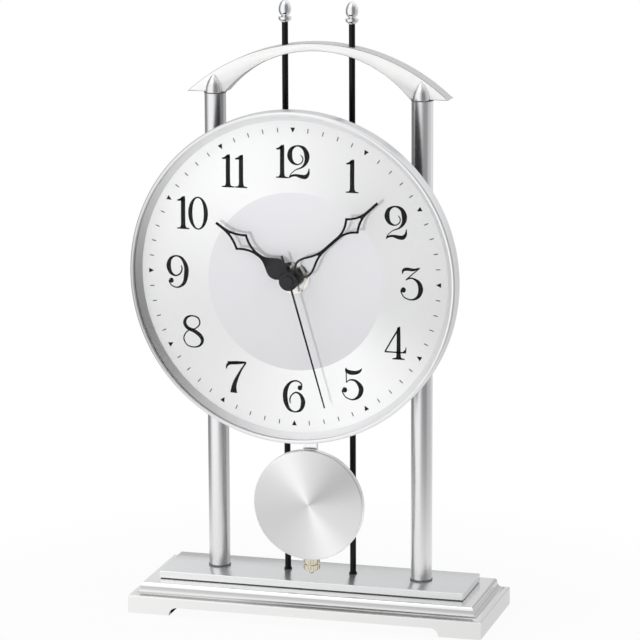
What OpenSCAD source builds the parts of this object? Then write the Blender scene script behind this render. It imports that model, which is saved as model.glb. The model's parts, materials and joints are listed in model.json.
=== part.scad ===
// Desk pendulum clock: a round glazed dial carried by two tube posts on a moulded base,
// an arched crown over the posts, two thin rods behind, and a swinging disc pendulum.
// Millimetres. X runs to the right, Y to the back, Z up. The origin is on the ground under
// the middle of the whole clock, between the front of the glass and the back of the base.
// Inside the modules Y = 0 is the middle of the base, and "front" distances are measured
// from there towards -Y. placed() then moves every piece back to the common origin.

/* [Base] */
// Width of the moulded base
base_w = 171.4; // [160:0.2:190]
// Depth of the moulded base
base_d = 60; // [52:0.5:76]
// Height of the upright skirt
skirt_h = 8.8; // [7.5:0.1:12]
// Height of the hollow curve above the skirt
cove_h = 3.4; // [2.4:0.1:5]
// Depth of the hollow curve, from front to back
cove_in = 4.5; // [3:0.1:6]
// Height of the round edge above the hollow
roll_h = 2.1; // [1.2:0.1:3.5]
// Depth of the round edge
roll_in = 1.5; // [0.8:0.1:2.5]
// Wall of the base casting
base_wall = 2.5; // [1.8:0.1:3]
// Length of each corner foot along the front
foot_w = 20.2; // [16:0.2:26]
// Height of the gap between the feet
foot_gap_h = 4; // [2.5:0.1:5]
// Diameter of the felt pads under the feet
pad_d = 9; // [7:0.5:11]
// How far the pads stand below the casting
pad_out = 0.3; // [0.2:0.1:0.6]
// Width of the flat top plate
plate_w = 148.4; // [138:0.2:154]
// Depth of the flat top plate
plate_d = 34.6; // [28:0.2:42]
// Thickness of the flat top plate
plate_t = 3.4; // [2:0.1:5]
// Thickness of the dark gasket under the plate
gasket_t = 0.4; // [0.2:0.1:0.8]
// Thickness of the steel weight inside the base
weight_t = 2.8; // [2:0.1:3.2]

/* [Posts and rods] */
// Distance between the two posts, axis to axis
post_span = 99.2; // [94:0.2:106]
// Outer diameter of the posts
post_od = 10; // [9:0.1:11]
// Wall of the post tubes
post_wall = 1; // [0.8:0.1:1.5]
// Length of the post tubes
post_len = 227; // [222:0.2:250]
// How far the posts stand behind the middle of the base
post_back = 1; // [0:0.1:2]
// Thickness of the dark rings at the post ends
ring_h = 0.6; // [0.4:0.1:1.6]
// How far the rings stand out from the post
ring_lip = 0.25; // [0.1:0.05:1]
// Diameter of the tie rods inside the posts
tie_d = 3; // [2.6:0.1:3.2]
// Distance between the two thin rods
rod_span = 32; // [26:0.2:38]
// Diameter of the thin rods
rod_d = 2.9; // [2.4:0.1:3.6]
// How far the thin rods stand behind the posts
rod_back = 1.2; // [0.6:0.1:2]
// How far the thin rods rise above the crown
rod_rise = 9.3; // [6:0.1:14]
// Height of the flared collar under each finial
collar_h = 2.4; // [1.6:0.1:3.4]
// Height of the finial ball
ball_h = 7.8; // [6:0.1:10]
// Diameter of the finial ball
ball_d = 5.8; // [4.8:0.1:7]

/* [Crown] */
// Width of the arched crown at its ends
crown_w = 124.6; // [118:0.2:130]
// Rise of the crown's upper curve
crown_rise = 24.1; // [22.5:0.1:27]
// Width of the opening under the crown
crown_gap_w = 88.2; // [84:0.2:88.4]
// Rise of the opening under the crown
crown_gap_rise = 20.6; // [17:0.1:20.9]
// Depth of the crown, front to back
crown_d = 9.5; // [9:0.1:13]
// How far the crown's face lies before the post axis
crown_face = 2.3; // [1.6:0.1:3]
// Diameter of the bullet caps on the posts
cap_d = 8.1; // [7:0.1:9]
// Height of the bullet caps
cap_h = 8.5; // [8:0.1:10]

/* [Dial and glass] */
// Height of the dial's centre above the top plate
dial_up = 150.6; // [148:0.2:156]
// Distance of the dial's face before the middle of the base
dial_front = 41; // [40:0.1:46]
// Thickness of the dial plate
dial_t = 0.8; // [0.6:0.1:1.2]
// Diameter of the dial that shows inside the sloping ring
view_d = 144.6; // [140:0.2:149]
// Wall of the bezel
bezel_wall = 1.1; // [0.8:0.1:1.5]
// How far the bezel's front stands before the dial
bezel_front = 5; // [4.6:0.1:7]
// Width of the sloping ring around the dial
slope_w = 3.3; // [2.8:0.1:4]
// How far the glass bulges before its edge
glass_rise = 15.8; // [15.4:0.1:20]
// Thickness of the glass
glass_t = 1; // [0.8:0.1:1.1]

/* [Hands] */
// Length of the hour hand
hour_len = 42.9; // [40:0.1:46]
// Length of the minute hand
minute_len = 55.6; // [53:0.1:58]
// Length of the second hand
second_len = 60.5; // [54:0.1:61]
// Length of the second hand's tail
second_tail = 12; // [8:0.1:16]
// Angle of the hour hand from twelve o'clock
hour_angle = 305; // [0:1:360]
// Angle of the minute hand from twelve o'clock
minute_angle = 47.8; // [0:0.2:360]
// Angle of the second hand from twelve o'clock
second_angle = 164.1; // [0:0.1:360]
// Diameter of the cap in the middle of the second hand
cap_button_d = 8.8; // [7.6:0.1:9.6]

/* [Movement] */
// Width of the movement's case
case_w = 56; // [56:0.2:60]
// Depth of the movement's case
case_d = 20; // [20:0.1:22]
// How far the case reaches below the dial's centre
case_down = 28; // [28:0.1:30]
// Wall of the case
case_wall = 1.2; // [0.9:0.1:1.3]
// Diameter of the battery
battery_d = 14.4; // [14:0.1:14.5]
// Length of the battery without its nub
battery_len = 49.2; // [48:0.1:49.6]
// Diameter of the push buttons
button_d = 3.8; // [3:0.1:4.4]
// Travel of the push buttons
button_travel = 0.5; // [0.3:0.1:0.5]
// Module of the gears between the seconds and third wheels
train_module = 0.4; // [0.38:0.01:0.41]
// Module of the gears that drive the hour hand
motion_module = 0.45; // [0.42:0.01:0.46]
// Module of the seconds wheel
seconds_module = 0.45; // [0.43:0.01:0.46]
// Module of the rotor and step wheel
step_module = 0.36; // [0.34:0.01:0.37]

/* [Pendulum] */
// Diameter of the bob
bob_d = 53; // [46:0.1:56]
// Thickness of the bob
bob_t = 3.4; // [2.6:0.1:4.4]
// Distance of the bob's centre below the dial's centre
bob_drop = 113; // [110:0.2:115]
// Width of the pendulum strip
strip_w = 6.4; // [5.6:0.1:7.4]
// Depth of the folded pendulum strip
strip_d = 2.6; // [2.2:0.1:3]
// Diameter of the rating nut
nut_d = 7.9; // [7:0.1:9]
// Height of the rating nut
nut_h = 5.9; // [5:0.1:6.6]
// Diameter of the threaded stud below the strip
stud_d = 2.4; // [2:0.1:2.6]

/* [Carrier] */
// Thickness of the frame that joins the head to the posts
bridge_t = 2; // [1.5:0.1:2.4]
// Height of the frame's upper and lower bars
bridge_bar = 5.6; // [5.4:0.1:6.4]
// Diameter of the four spacers between frame and head
spacer_d = 6; // [5:0.1:7]
// Diameter of the fixing screws
screw_d = 2.9; // [2.4:0.1:3]

/* [Fits] */
// Running clearance of a shaft in its hole, on the radius
run_gap = 0.05; // [0.02:0.01:0.08]
// Clearance of sliding and seated parts
slide_gap = 0.1; // [0.05:0.01:0.2]

/* [Hidden] */
$fn = 64;
eps = 0.01;
chrome = [0.80, 0.82, 0.84];
steel = [0.72, 0.73, 0.75];
black = [0.06, 0.06, 0.07];
brass = [0.80, 0.74, 0.55];
plastic = [0.12, 0.12, 0.13];
white_plastic = [0.85, 0.85, 0.82];
copper = [0.75, 0.42, 0.22];

// ---- Base -------------------------------------------------------------------------

edge_in = 0.4;                                  // soft top edge of the skirt
mould_in = edge_in + cove_in + roll_in;         // skirt face to the edge of the upper flat
flat_z = skirt_h + 0.1 + cove_h + roll_h;       // the casting's upper flat
cast_z = pad_out;                               // underside of the casting's feet
weight_z = flat_z - base_wall - weight_t;
plate_z = flat_z + gasket_t;
plate_top = plate_z + plate_t;
post_x = post_span / 2;
rod_x = rod_span / 2;
rod_y = post_back + rod_back;
pad_t = 1.3;
pad_x = base_w / 2 - base_wall - 8;
pad_y = base_d / 2 - base_wall - 6;

// Half of the base's cross-section, from the ground up: skirt, hollow, round edge, flat.
// half is the distance of the skirt from the middle.
function mould_half(half) = concat(
    [[half, cast_z], [half, skirt_h - 0.3], [half - 0.3, skirt_h]],
    [for (a = [0:10:90]) [
        half - edge_in - cove_in * sin(a),
        skirt_h + 0.1 + cove_h * (1 - cos(a))
    ]],
    [for (a = [15:15:90]) [
        half - edge_in - cove_in - roll_in * (1 - cos(a)),
        skirt_h + 0.1 + cove_h + roll_h * sin(a)
    ]]
);

function reversed(points) = [for (i = [len(points) - 1:-1:0]) points[i]];
function mirrored(points) = [for (p = points) [-p[0], p[1]]];
function both_sides(points) = concat(points, reversed(mirrored(points)));

// Moves a piece from the base's middle to the clock's origin.
module placed() {
    translate([0, (glass_apex - base_d / 2) / 2, 0])
        children();
}

// The mitred block is where the profile run along X meets the one run along Y.
module moulded_block() {
    intersection() {
        translate([0, base_d / 2, 0])
            rotate([90, 0, 0])
                linear_extrude(base_d)
                    polygon(both_sides(mould_half(base_w / 2)));
        translate([-base_w / 2, 0, 0])
            rotate([90, 0, 90])
                linear_extrude(base_w)
                    polygon(both_sides(mould_half(base_d / 2)));
    }
}

module middle_box(w, d, z0, z1) {
    translate([-w / 2, -d / 2, z0])
        cube([w, d, z1 - z0]);
}

// Gap between the feet, with round upper corners, cut through front and back.
module foot_gap() {
    straight = base_w - 2 * foot_w - 2 * foot_gap_h;
    middle_box(straight, base_d + 2, -1, cast_z + foot_gap_h);
    for (side = [-1, 1])
        translate([side * straight / 2, base_d / 2 + 1, cast_z])
            rotate([90, 0, 0])
                cylinder(r = foot_gap_h, h = base_d + 2);
}

// Bores through the base for the tie rods and the thin rods.
module base_bores(extra = 0) {
    for (side = [-1, 1]) {
        translate([side * post_x, post_back, 0])
            cylinder(d = tie_d + 2 * (run_gap + extra), h = plate_top + 2 * ring_h);
        translate([side * rod_x, rod_y, 0])
            cylinder(d = rod_d + 2 * (run_gap + extra), h = plate_top + 2 * ring_h);
    }
}

module base_plinth() {
    inner_w = base_w - 2 * base_wall;
    inner_d = base_d - 2 * base_wall;
    boss_w = foot_w - base_wall - 0.1;
    boss_d = 12;
    color(chrome)
    placed()
    difference() {
        moulded_block();
        difference() {
            middle_box(inner_w, inner_d, -1, skirt_h - base_wall + 0.5);
            for (sx = [-1, 1])
                for (sy = [-1, 1])
                    translate([sx * (inner_w - boss_w) / 2, sy * (inner_d - boss_d) / 2, 0])
                        middle_box(boss_w + eps, boss_d + eps, cast_z, skirt_h);
        }
        middle_box(
            inner_w - 2 * mould_in, inner_d - 2 * mould_in,
            skirt_h - base_wall, flat_z - base_wall
        );
        foot_gap();
        base_bores();
        for (sx = [-1, 1])
            for (sy = [-1, 1])
                translate([sx * pad_x, sy * pad_y, -1])
                    cylinder(d = pad_d, h = 1 + pad_t);
    }
}

module foot_pads() {
    color(black)
    placed()
    for (sx = [-1, 1])
        for (sy = [-1, 1])
            translate([sx * pad_x, sy * pad_y, 0])
                cylinder(d = pad_d, h = pad_t);
}

module base_weight() {
    color(steel)
    placed()
    difference() {
        middle_box(post_span + 22, base_d - 2 * (base_wall + mould_in) - 4, weight_z,
                   weight_z + weight_t);
        base_bores();
    }
}

plate_corner = 0.4;

// A flat plate with four round corners, standing on z0.
module rounded_plate(w, d, t, corner, z0) {
    translate([0, 0, z0]) {
        middle_box(w - 2 * corner, d, 0, t);
        middle_box(w, d - 2 * corner, 0, t);
        for (sx = [-1, 1])
            for (sy = [-1, 1])
                translate([sx * (w / 2 - corner), sy * (d / 2 - corner), 0])
                    cylinder(r = corner, h = t);
    }
}

module plate_gasket() {
    color(black)
    placed()
    difference() {
        rounded_plate(plate_w - 1.2, plate_d - 1.2, gasket_t, plate_corner, flat_z);
        base_bores();
    }
}

module top_plate() {
    color(steel)
    placed()
    difference() {
        rounded_plate(plate_w, plate_d, plate_t, plate_corner, plate_z);
        base_bores();
    }
}

// ---- Posts and rods -----------------------------------------------------------------

post_z = plate_top + ring_h;
crown_z = post_z + post_len + ring_h;
crown_top = crown_z + crown_rise;
rod_top = crown_top + rod_rise;
tie_nut_h = 3.2;
rod_nut_h = 2.4;
tie_top = crown_z + 4.2;
bridge_y = post_back - post_od / 2;             // rear face of the carrier frame

module at_posts() {
    for (side = [-1, 1])
        translate([side * post_x, post_back, 0])
            children();
}

module at_rods() {
    for (side = [-1, 1])
        translate([side * rod_x, rod_y, 0])
            children();
}

module tube(od, bore, h) {
    difference() {
        cylinder(d = od, h = h);
        translate([0, 0, -1])
            cylinder(d = bore, h = h + 2);
    }
}

// A post tube with cross holes for the carrier frame's screws.
module post_tube(side) {
    difference() {
        translate([side * post_x, post_back, post_z])
            tube(post_od, post_od - 2 * post_wall, post_len);
        for (z = [bridge_top_z, bridge_low_z])
            translate([side * post_x, post_back, z])
                rotate([90, 0, 0])
                    cylinder(d = screw_d + 2 * run_gap, h = post_od);
    }
}

module left_post() {
    color(chrome) placed() post_tube(-1);
}

module right_post() {
    color(chrome) placed() post_tube(1);
}

module post_rings() {
    color(black)
    placed()
    at_posts()
        for (z = [plate_top, crown_z - ring_h])
            translate([0, 0, z])
                tube(post_od + 2 * ring_lip, tie_d + 2 * run_gap, ring_h);
}

module tie_rods() {
    color(steel)
    placed()
    at_posts()
        translate([0, 0, weight_z - tie_nut_h - 0.4])
            cylinder(d = tie_d, h = tie_top - weight_z + tie_nut_h + 0.4);
}

module hex_nut(flats, bore, h) {
    difference() {
        cylinder(d = flats / cos(30), h = h, $fn = 6);
        translate([0, 0, -1])
            cylinder(d = bore, h = h + 2);
    }
}

module tie_nuts() {
    color(steel)
    placed()
    at_posts()
        translate([0, 0, weight_z - tie_nut_h])
            hex_nut(tie_d + 3, tie_d + 2 * run_gap, tie_nut_h);
}

module thin_rod(side) {
    translate([side * rod_x, rod_y, weight_z - rod_nut_h - 0.4])
        cylinder(d = rod_d, h = rod_top - weight_z + rod_nut_h + 0.4 + collar_h / 2);
}

module left_rod() {
    color(black) placed() thin_rod(-1);
}

module right_rod() {
    color(black) placed() thin_rod(1);
}

module rod_collars() {
    color(black)
    placed()
    at_rods()
        translate([0, 0, plate_top])
            tube(rod_d + 2 * ring_lip + 0.4, rod_d + 2 * run_gap, ring_h);
}

module rod_nuts() {
    color(steel)
    placed()
    at_rods()
        translate([0, 0, weight_z - rod_nut_h])
            hex_nut(rod_d + 2.6, rod_d + 2 * run_gap, rod_nut_h);
}

// Outline of a finial: a collar that flares upwards, a waist, and an egg-shaped ball.
function finial_half() = concat(
    [[0, 0], [rod_d / 2 + 0.3, 0], [rod_d / 2 + 0.5, 0.5]],
    [for (a = [30:30:90]) [
        rod_d / 2 + 0.5 + (ball_d / 2 - rod_d / 2 - 0.4) * sin(a),
        0.5 + (collar_h - 1.1) * (1 - cos(a))
    ]],
    [[ball_d / 2 + 0.1, collar_h - 0.2], [ball_d / 2 - 0.9, collar_h]],
    [for (a = [-60:12:84]) [
        ball_d / 2 * cos(a),
        collar_h + ball_h * 0.5 + ball_h * 0.5 * sin(a)
            - ball_h * 0.067 * (1 - pow(sin(a), 2))
    ]],
    [[0, collar_h + ball_h]]
);

module rod_finials() {
    color(chrome)
    placed()
    at_rods()
        translate([0, 0, rod_top])
            difference() {
                rotate_extrude() polygon(finial_half());
                translate([0, 0, -1])
                    cylinder(d = rod_d + 2 * run_gap, h = 1 + collar_h / 2 + run_gap);
            }
}

// ---- Crown ----------------------------------------------------------------------------

// Radius of the circle through both ends and the top of an arch.
function arch_radius(w, rise) = (w * w / 4 + rise * rise) / (2 * rise);

crown_y = post_back - crown_face;               // front face of the crown

// Half a bullet with its flat back on the crown's face: a pointed arch turned about the
// line where the post's middle meets that face.
module bullet() {
    r = cap_d / 2;
    side_r = (cap_h * cap_h + r * r) / (2 * r);
    translate([0, crown_y - post_back, crown_z])
        intersection() {
            rotate_extrude()
                polygon(concat(
                    [[0, 0]],
                    [for (i = [0:11]) let (h = cap_h * i / 12)
                        [sqrt(side_r * side_r - h * h) - side_r + r, h]],
                    [[0, cap_h]]
                ));
            translate([-cap_d, -cap_d, -1])
                cube([2 * cap_d, cap_d, cap_h + 2]);
        }
}

crown_thread_d = 1.4;
crown_head_d = 2.6;
crown_head_h = 1.2;
crown_screw_up = 6;                             // height of the screw above the crown's foot
cap_grip = 1.6;                                 // length of the screw inside the cap

module crown_screw_shape(grow = 0) {
    head_y = crown_y + crown_d;
    translate([0, head_y - post_back, crown_z + crown_screw_up])
        rotate([90, 0, 0]) {
            cylinder(d = crown_thread_d + 2 * grow, h = crown_d + cap_grip);
            translate([0, 0, -crown_head_h])
                cylinder(d = crown_head_d, h = crown_head_h);
        }
}

module crown_arch() {
    outer = arch_radius(crown_w, crown_rise);
    inner = arch_radius(crown_gap_w, crown_gap_rise);
    color(chrome)
    placed()
    difference() {
        intersection() {
            translate([0, crown_y + crown_d, crown_top - outer])
                rotate([90, 0, 0])
                    cylinder(r = outer, h = crown_d, $fn = 180);
            translate([-crown_w, crown_y - 1, crown_z])
                cube([2 * crown_w, crown_d + 2, crown_rise + 1]);
        }
        translate([0, crown_y + crown_d + 1, crown_z + crown_gap_rise - inner])
            rotate([90, 0, 0])
                cylinder(r = inner, h = crown_d + 2, $fn = 120);
        at_posts() {
            crown_screw_shape(run_gap);
            translate([0, 0, crown_z - 1])
                cylinder(d = tie_d + 2 * run_gap, h = tie_top - crown_z + 1 + run_gap);
        }
        at_rods()
            cylinder(d = rod_d + 2 * run_gap, h = crown_top + 1);
    }
}

module crown_caps() {
    color(chrome)
    placed()
    at_posts()
        difference() {
            bullet();
            crown_screw_shape(run_gap);
        }
}

module crown_screws() {
    color(steel)
    placed()
    at_posts()
        crown_screw_shape();
}

// ---- Dial, bezel and glass --------------------------------------------------------------

dial_z = plate_top + dial_up;
dial_back = dial_front - dial_t;
dial_r = view_d / 2 + slope_w;
bezel_r = dial_r + slide_gap + bezel_wall;
lip_f = dial_front + bezel_front;               // frontmost plane of the bezel
lip_t = 0.7;
lip_r = dial_r - 0.6;
glass_r = dial_r;
glass_sphere = arch_radius(2 * glass_r, glass_rise);
glass_edge_t = glass_t / cos(asin(glass_r / glass_sphere));
glass_edge_f = lip_f - lip_t - slide_gap;
glass_apex = glass_edge_f + glass_rise;

// Front distance of the glass's outer surface at radius r.
function glass_face(r) = glass_apex - glass_sphere + sqrt(glass_sphere * glass_sphere - r * r);

ring_front = glass_edge_f - glass_edge_t - 0.1;
pan_r = dial_r - 5.6;
pan_flange_t = 1.7;
pan_f = 30;                                     // rear face of the pan
pan_wall = 1.5;

// Front distances become heights here: z = 0 lies in the plane Y = 0, and X and Z of the
// clock become x and y around the dial's centre.
module before(f) {
    translate([0, -f, dial_z])
        rotate([90, 0, 0])
            children();
}

// A box between two front distances, placed around the dial's centre.
module head_box(x0, x1, z0, z1, f0, f1) {
    translate([x0, -f1, dial_z + z0])
        cube([x1 - x0, f1 - f0, z1 - z0]);
}

module bezel() {
    round_r = bezel_wall;
    r = bezel_r;
    rear = dial_back - pan_flange_t - slide_gap;
    color(chrome)
    placed()
    before(0)
        rotate_extrude($fn = 180)
            polygon(concat(
                [[r - 3.2, rear - 1.1], [r - 0.4, rear - 1.1], [r, rear - 0.7]],
                [for (a = [0:15:90]) [
                    r - round_r * (1 - cos(a)), lip_f - round_r * (1 - sin(a))
                ]],
                [[lip_r, lip_f - 0.15], [lip_r, glass_face(lip_r) + slide_gap]],
                [[r - bezel_wall, glass_edge_f + slide_gap], [r - bezel_wall, rear], [r - 3.2, rear]]
            ));
}

// Glass: the shell between two spheres about one centre, cut to a round rim.
module glass_dome() {
    color([0.8, 0.85, 0.88, 0.25])
    placed()
    before(0)
        intersection() {
            difference() {
                translate([0, 0, glass_apex - glass_sphere])
                    sphere(r = glass_sphere, $fn = 240);
                translate([0, 0, glass_apex - glass_sphere])
                    sphere(r = glass_sphere - glass_t, $fn = 240);
            }
            translate([0, 0, dial_front])
                cylinder(r = glass_r, h = glass_rise + bezel_front, $fn = 180);
        }
}

module sloping_ring() {
    color(steel)
    placed()
    before(0)
        rotate_extrude($fn = 180)
            polygon([
                [view_d / 2, dial_front],
                [dial_r, dial_front],
                [dial_r, ring_front],
                [lip_r, ring_front],
                [view_d / 2, dial_front + 0.3]
            ]);
}

bush_r = 4;
bush_f = dial_front + 3.2;

module dial_plate() {
    color(white_plastic)
    placed()
    before(dial_back)
        difference() {
            cylinder(r = dial_r, h = dial_t, $fn = 180);
            translate([0, 0, -1])
                cylinder(r = bush_r + slide_gap, h = dial_t + 2);
        }
}

// The pan closes the head from behind. Its window shows the movement's back.
module case_pan() {
    color(plastic)
    placed()
    difference() {
        union() {
            before(pan_f)
                cylinder(r = pan_r, h = dial_back - pan_f - pan_flange_t + eps, $fn = 180);
            before(dial_back - pan_flange_t)
                cylinder(r = dial_r, h = pan_flange_t, $fn = 180);
        }
        before(pan_f + 2)
            cylinder(r = pan_r - pan_wall, h = dial_back - pan_f, $fn = 180);
        head_box(-case_w / 2 - 2, case_w / 2 + 2, -case_down - 2, case_up + 0.8,
                 pan_f - 1, pan_f + 3);
        at_spacers()
            before(pan_f - 1)
                cylinder(d = screw_d + 2 * run_gap, h = 4);
    }
}

washer_t = 0.6;
nut_flats = 11.6;

module dial_washer() {
    color(steel)
    placed()
    before(dial_front)
        tube(15, 2 * (bush_r + run_gap), washer_t);
}

module centre_nut() {
    color(brass)
    placed()
    before(dial_front + washer_t)
        hex_nut(nut_flats, 2 * (bush_r + run_gap), 1.8);
}

// ---- Gears ------------------------------------------------------------------------------

// Teeth are straight-sided: each has a root, a pitch and a tip width, as parts of the pitch.
WHEEL = [1.0, 1.15, 0.58, 0.46, 0.12];          // addendum, dedendum, root, pitch, tip
PINION = [0.8, 1.35, 0.40, 0.40, 0.18];

function tooth_points(teeth, m, form, turn) = [
    for (k = [0:teeth - 1])
        for (e = [
            [-form[1], -form[2]], [0, -form[3]], [form[0], -form[4]],
            [form[0], form[4]], [0, form[3]], [-form[1], form[2]]
        ])
            let (r = teeth * m / 2 + e[0] * m, a = turn + (k + e[1] / 2) * 360 / teeth)
            [r * cos(a), r * sin(a)]
];

module toothed(teeth, m, form, turn, z0, z1) {
    translate([0, 0, z0])
        linear_extrude(z1 - z0)
            polygon(tooth_points(teeth, m, form, turn));
}

module arbor(r, z0, z1) {
    translate([0, 0, z0])
        cylinder(r = r, h = z1 - z0, $fn = 32);
}

// Turn that puts a gear in mesh with a neighbour of known teeth and turn. The line of
// centres runs at angle way from the neighbour to this gear.
function mesh_turn(teeth, other, other_turn, way) =
    way + 180 + (0.5 - (other_turn - way) * other / 360) * 360 / teeth;

function spacing(a, b, m) = (a + b) * m / 2;
function polar(r, a) = [r * cos(a), r * sin(a)];

rotor_teeth = 6;
step_teeth = 36;
step_leaves = 6;
seconds_teeth = 30;
seconds_leaves = 6;
third_teeth = 48;
third_leaves = 6;
centre_teeth = 45;
cannon_leaves = 10;
minute_teeth = 30;
minute_leaves = 8;
hour_teeth = 32;

third_way = 200;
minute_way = 270;
step_way = -20;
rotor_way = -60;

third_reach = spacing(third_teeth, seconds_leaves, train_module);
centre_module = 2 * third_reach / (centre_teeth + third_leaves);
minute_reach = spacing(minute_teeth, cannon_leaves, motion_module);
step_reach = spacing(seconds_teeth, step_leaves, seconds_module);
rotor_reach = spacing(step_teeth, rotor_teeth, step_module);

third_at = polar(third_reach, third_way);
minute_at = polar(minute_reach, minute_way);
step_at = polar(step_reach, step_way);
rotor_at = step_at + polar(rotor_reach, rotor_way);

seconds_turn = 0;
step_turn = mesh_turn(step_leaves, seconds_teeth, seconds_turn, step_way);
rotor_turn = mesh_turn(rotor_teeth, step_teeth, step_turn, rotor_way);
third_turn = mesh_turn(third_teeth, seconds_leaves, seconds_turn, third_way);
centre_turn = mesh_turn(centre_teeth, third_leaves, third_turn, third_way + 180);
minute_turn = mesh_turn(minute_teeth, cannon_leaves, centre_turn, minute_way);
hour_turn = mesh_turn(hour_teeth, minute_leaves, minute_turn, minute_way + 180);

// Front distances inside the movement, counted back from its front face.
cushion_t = 1;
case_f = dial_back - cushion_t;                 // front face of the case
inner_f = case_f - case_wall;
cover_f = case_f - case_d;                      // rear face of the cover
cover_in = cover_f + case_wall;
hour_wheel_f = inner_f - 1.4;
minute_wheel_f = hour_wheel_f - 1.4;
centre_wheel_f = minute_wheel_f - 2.6;
third_wheel_f = centre_wheel_f - 2.2;
plate_f = third_wheel_f - 1;                    // rear face of the middle plate
middle_t = 0.6;
seconds_wheel_f = plate_f - 1.4;
step_wheel_f = seconds_wheel_f - 2.5;
wheel_t = 1;
leaf_over = 0.3;                                // how far leaves stand past their wheel

arbor_r = 0.5;
pillar_r = 1.9;
plate_bore_r = 1.9;
seconds_r = 0.75;
cannon_bore = seconds_r + run_gap;
cannon_r = 1.75;
hour_bore = cannon_r + run_gap;
hour_tube_r = 2.5;
bush_bore = hour_tube_r + run_gap;

hand_t = 0.4;
hour_f = dial_front + 4.6;                      // rear face of each hand
minute_f = dial_front + 6.1;
second_f = dial_front + 7.6;
cap_top_f = second_f + 2.6;
cap_disc_t = 1.4;                               // flat disc of the second hand's cap
cap_nub_d = 5.4;                                // button raised in its middle

module at_gear(place, f = 0) {
    translate([place[0], 0, place[1]])
        before(f)
            children();
}

module rotor() {
    color(steel)
    placed()
    at_gear(rotor_at) {
        toothed(rotor_teeth, step_module, PINION, rotor_turn,
                step_wheel_f - leaf_over, step_wheel_f + wheel_t + leaf_over);
        arbor(arbor_r, cover_in - 0.8, plate_f + middle_t - 0.1);
        arbor(2.4, cover_in + 1.2, step_wheel_f - leaf_over - 0.5);
        arbor(1, step_wheel_f - leaf_over - 0.6, step_wheel_f - leaf_over + eps);
    }
}

module step_wheel() {
    color(white_plastic)
    placed()
    at_gear(step_at) {
        toothed(step_teeth, step_module, WHEEL, step_turn, step_wheel_f, step_wheel_f + wheel_t);
        toothed(step_leaves, seconds_module, PINION, step_turn,
                seconds_wheel_f - leaf_over, seconds_wheel_f + wheel_t + leaf_over);
        arbor(arbor_r, cover_in - 0.8, plate_f + middle_t - 0.1);
        arbor(1, step_wheel_f, seconds_wheel_f);
    }
}

module seconds_wheel() {
    color(white_plastic)
    placed()
    before(0) {
        toothed(seconds_teeth, seconds_module, WHEEL, seconds_turn,
                seconds_wheel_f, seconds_wheel_f + wheel_t);
        toothed(seconds_leaves, train_module, PINION, seconds_turn,
                third_wheel_f - leaf_over, third_wheel_f + wheel_t + leaf_over);
        arbor(1, seconds_wheel_f, third_wheel_f);
        arbor(arbor_r, cover_in - 0.8, seconds_wheel_f);
        arbor(seconds_r, seconds_wheel_f, cap_top_f - 0.6);
    }
}

module third_wheel() {
    color(white_plastic)
    placed()
    at_gear(third_at) {
        toothed(third_teeth, train_module, WHEEL, third_turn,
                third_wheel_f, third_wheel_f + wheel_t);
        toothed(third_leaves, centre_module, PINION, third_turn,
                centre_wheel_f - leaf_over, centre_wheel_f + wheel_t + leaf_over);
        arbor(arbor_r, plate_f + 0.1, case_f - 0.5);
        arbor(1, third_wheel_f, centre_wheel_f);
    }
}

// Centre wheel, cannon pinion and the tube that carries the minute hand.
module centre_wheel() {
    color(white_plastic)
    placed()
    before(0)
        difference() {
            union() {
                toothed(centre_teeth, centre_module, WHEEL, centre_turn,
                        centre_wheel_f, centre_wheel_f + wheel_t);
                toothed(cannon_leaves, motion_module, PINION, centre_turn,
                        minute_wheel_f - leaf_over, minute_wheel_f + wheel_t);
                arbor(1.4, centre_wheel_f - leaf_over, minute_wheel_f);
                arbor(cannon_r, minute_wheel_f + wheel_t, minute_f + hand_t + 0.4);
            }
            arbor(cannon_bore, centre_wheel_f - 1, minute_f + 2);
        }
}

module minute_wheel() {
    color(white_plastic)
    placed()
    at_gear(minute_at)
        difference() {
            union() {
                toothed(minute_teeth, motion_module, WHEEL, minute_turn,
                        minute_wheel_f, minute_wheel_f + wheel_t);
                toothed(minute_leaves, motion_module, PINION, minute_turn,
                        minute_wheel_f + wheel_t - eps, hour_wheel_f + wheel_t + 0.1);
            }
            arbor(0.6 + run_gap, minute_wheel_f - 1, hour_wheel_f + 2);
        }
}

// Hour wheel and the tube that carries the hour hand.
module hour_wheel() {
    color(white_plastic)
    placed()
    before(0)
        difference() {
            union() {
                toothed(hour_teeth, motion_module, WHEEL, hour_turn,
                        hour_wheel_f, hour_wheel_f + wheel_t);
                arbor(hour_tube_r, hour_wheel_f, hour_f + hand_t + 0.3);
            }
            arbor(hour_bore, hour_wheel_f - 1, hour_f + 2);
        }
}

// ---- Hands ------------------------------------------------------------------------------

// Outlines of a hand are lists of [half-width, radius] from the tip side to the hub side.
// Lozenge with hollow sides: half-width w1 at r1, w at rm and w0 at r0.
function lozenge_side(r1, rm, r0, w1, w, w0) = concat(
    [for (s = [0:0.1:1]) [w1 + (w - w1) * pow(s, 2.1), r1 + (rm - r1) * s]],
    [for (s = [0.9:-0.1:0]) [w0 + (w - w0) * pow(s, 2.1), r0 + (rm - r0) * s]]
);

// Spade that widens slowly from half-width w1 at r1 to w at rm, and ends round at r0.
function spade_side(r1, rm, r0, w1, w, power) = concat(
    [for (s = [0:0.08:1]) [w1 + (w - w1) * pow(sin(90 * s), 2 * power), r1 + (rm - r1) * s]],
    [for (a = [0:15:75]) [w * cos(a), rm + (r0 - rm) * sin(a)]]
);

// The same outline moved inwards by a line's width. What crosses the middle falls away.
function step_dir(a, b) = (b - a) / norm(b - a);
function inset_side(side, line) = [
    for (i = [1:len(side) - 2])
        let (
            a = step_dir(side[i - 1], side[i]),
            b = step_dir(side[i], side[i + 1]),
            out = [-a[1] - b[1], a[0] + b[0]],
            p = side[i] - out * line / (1 + a * b)
        )
        if (p[0] > 0.05) p
];

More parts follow.
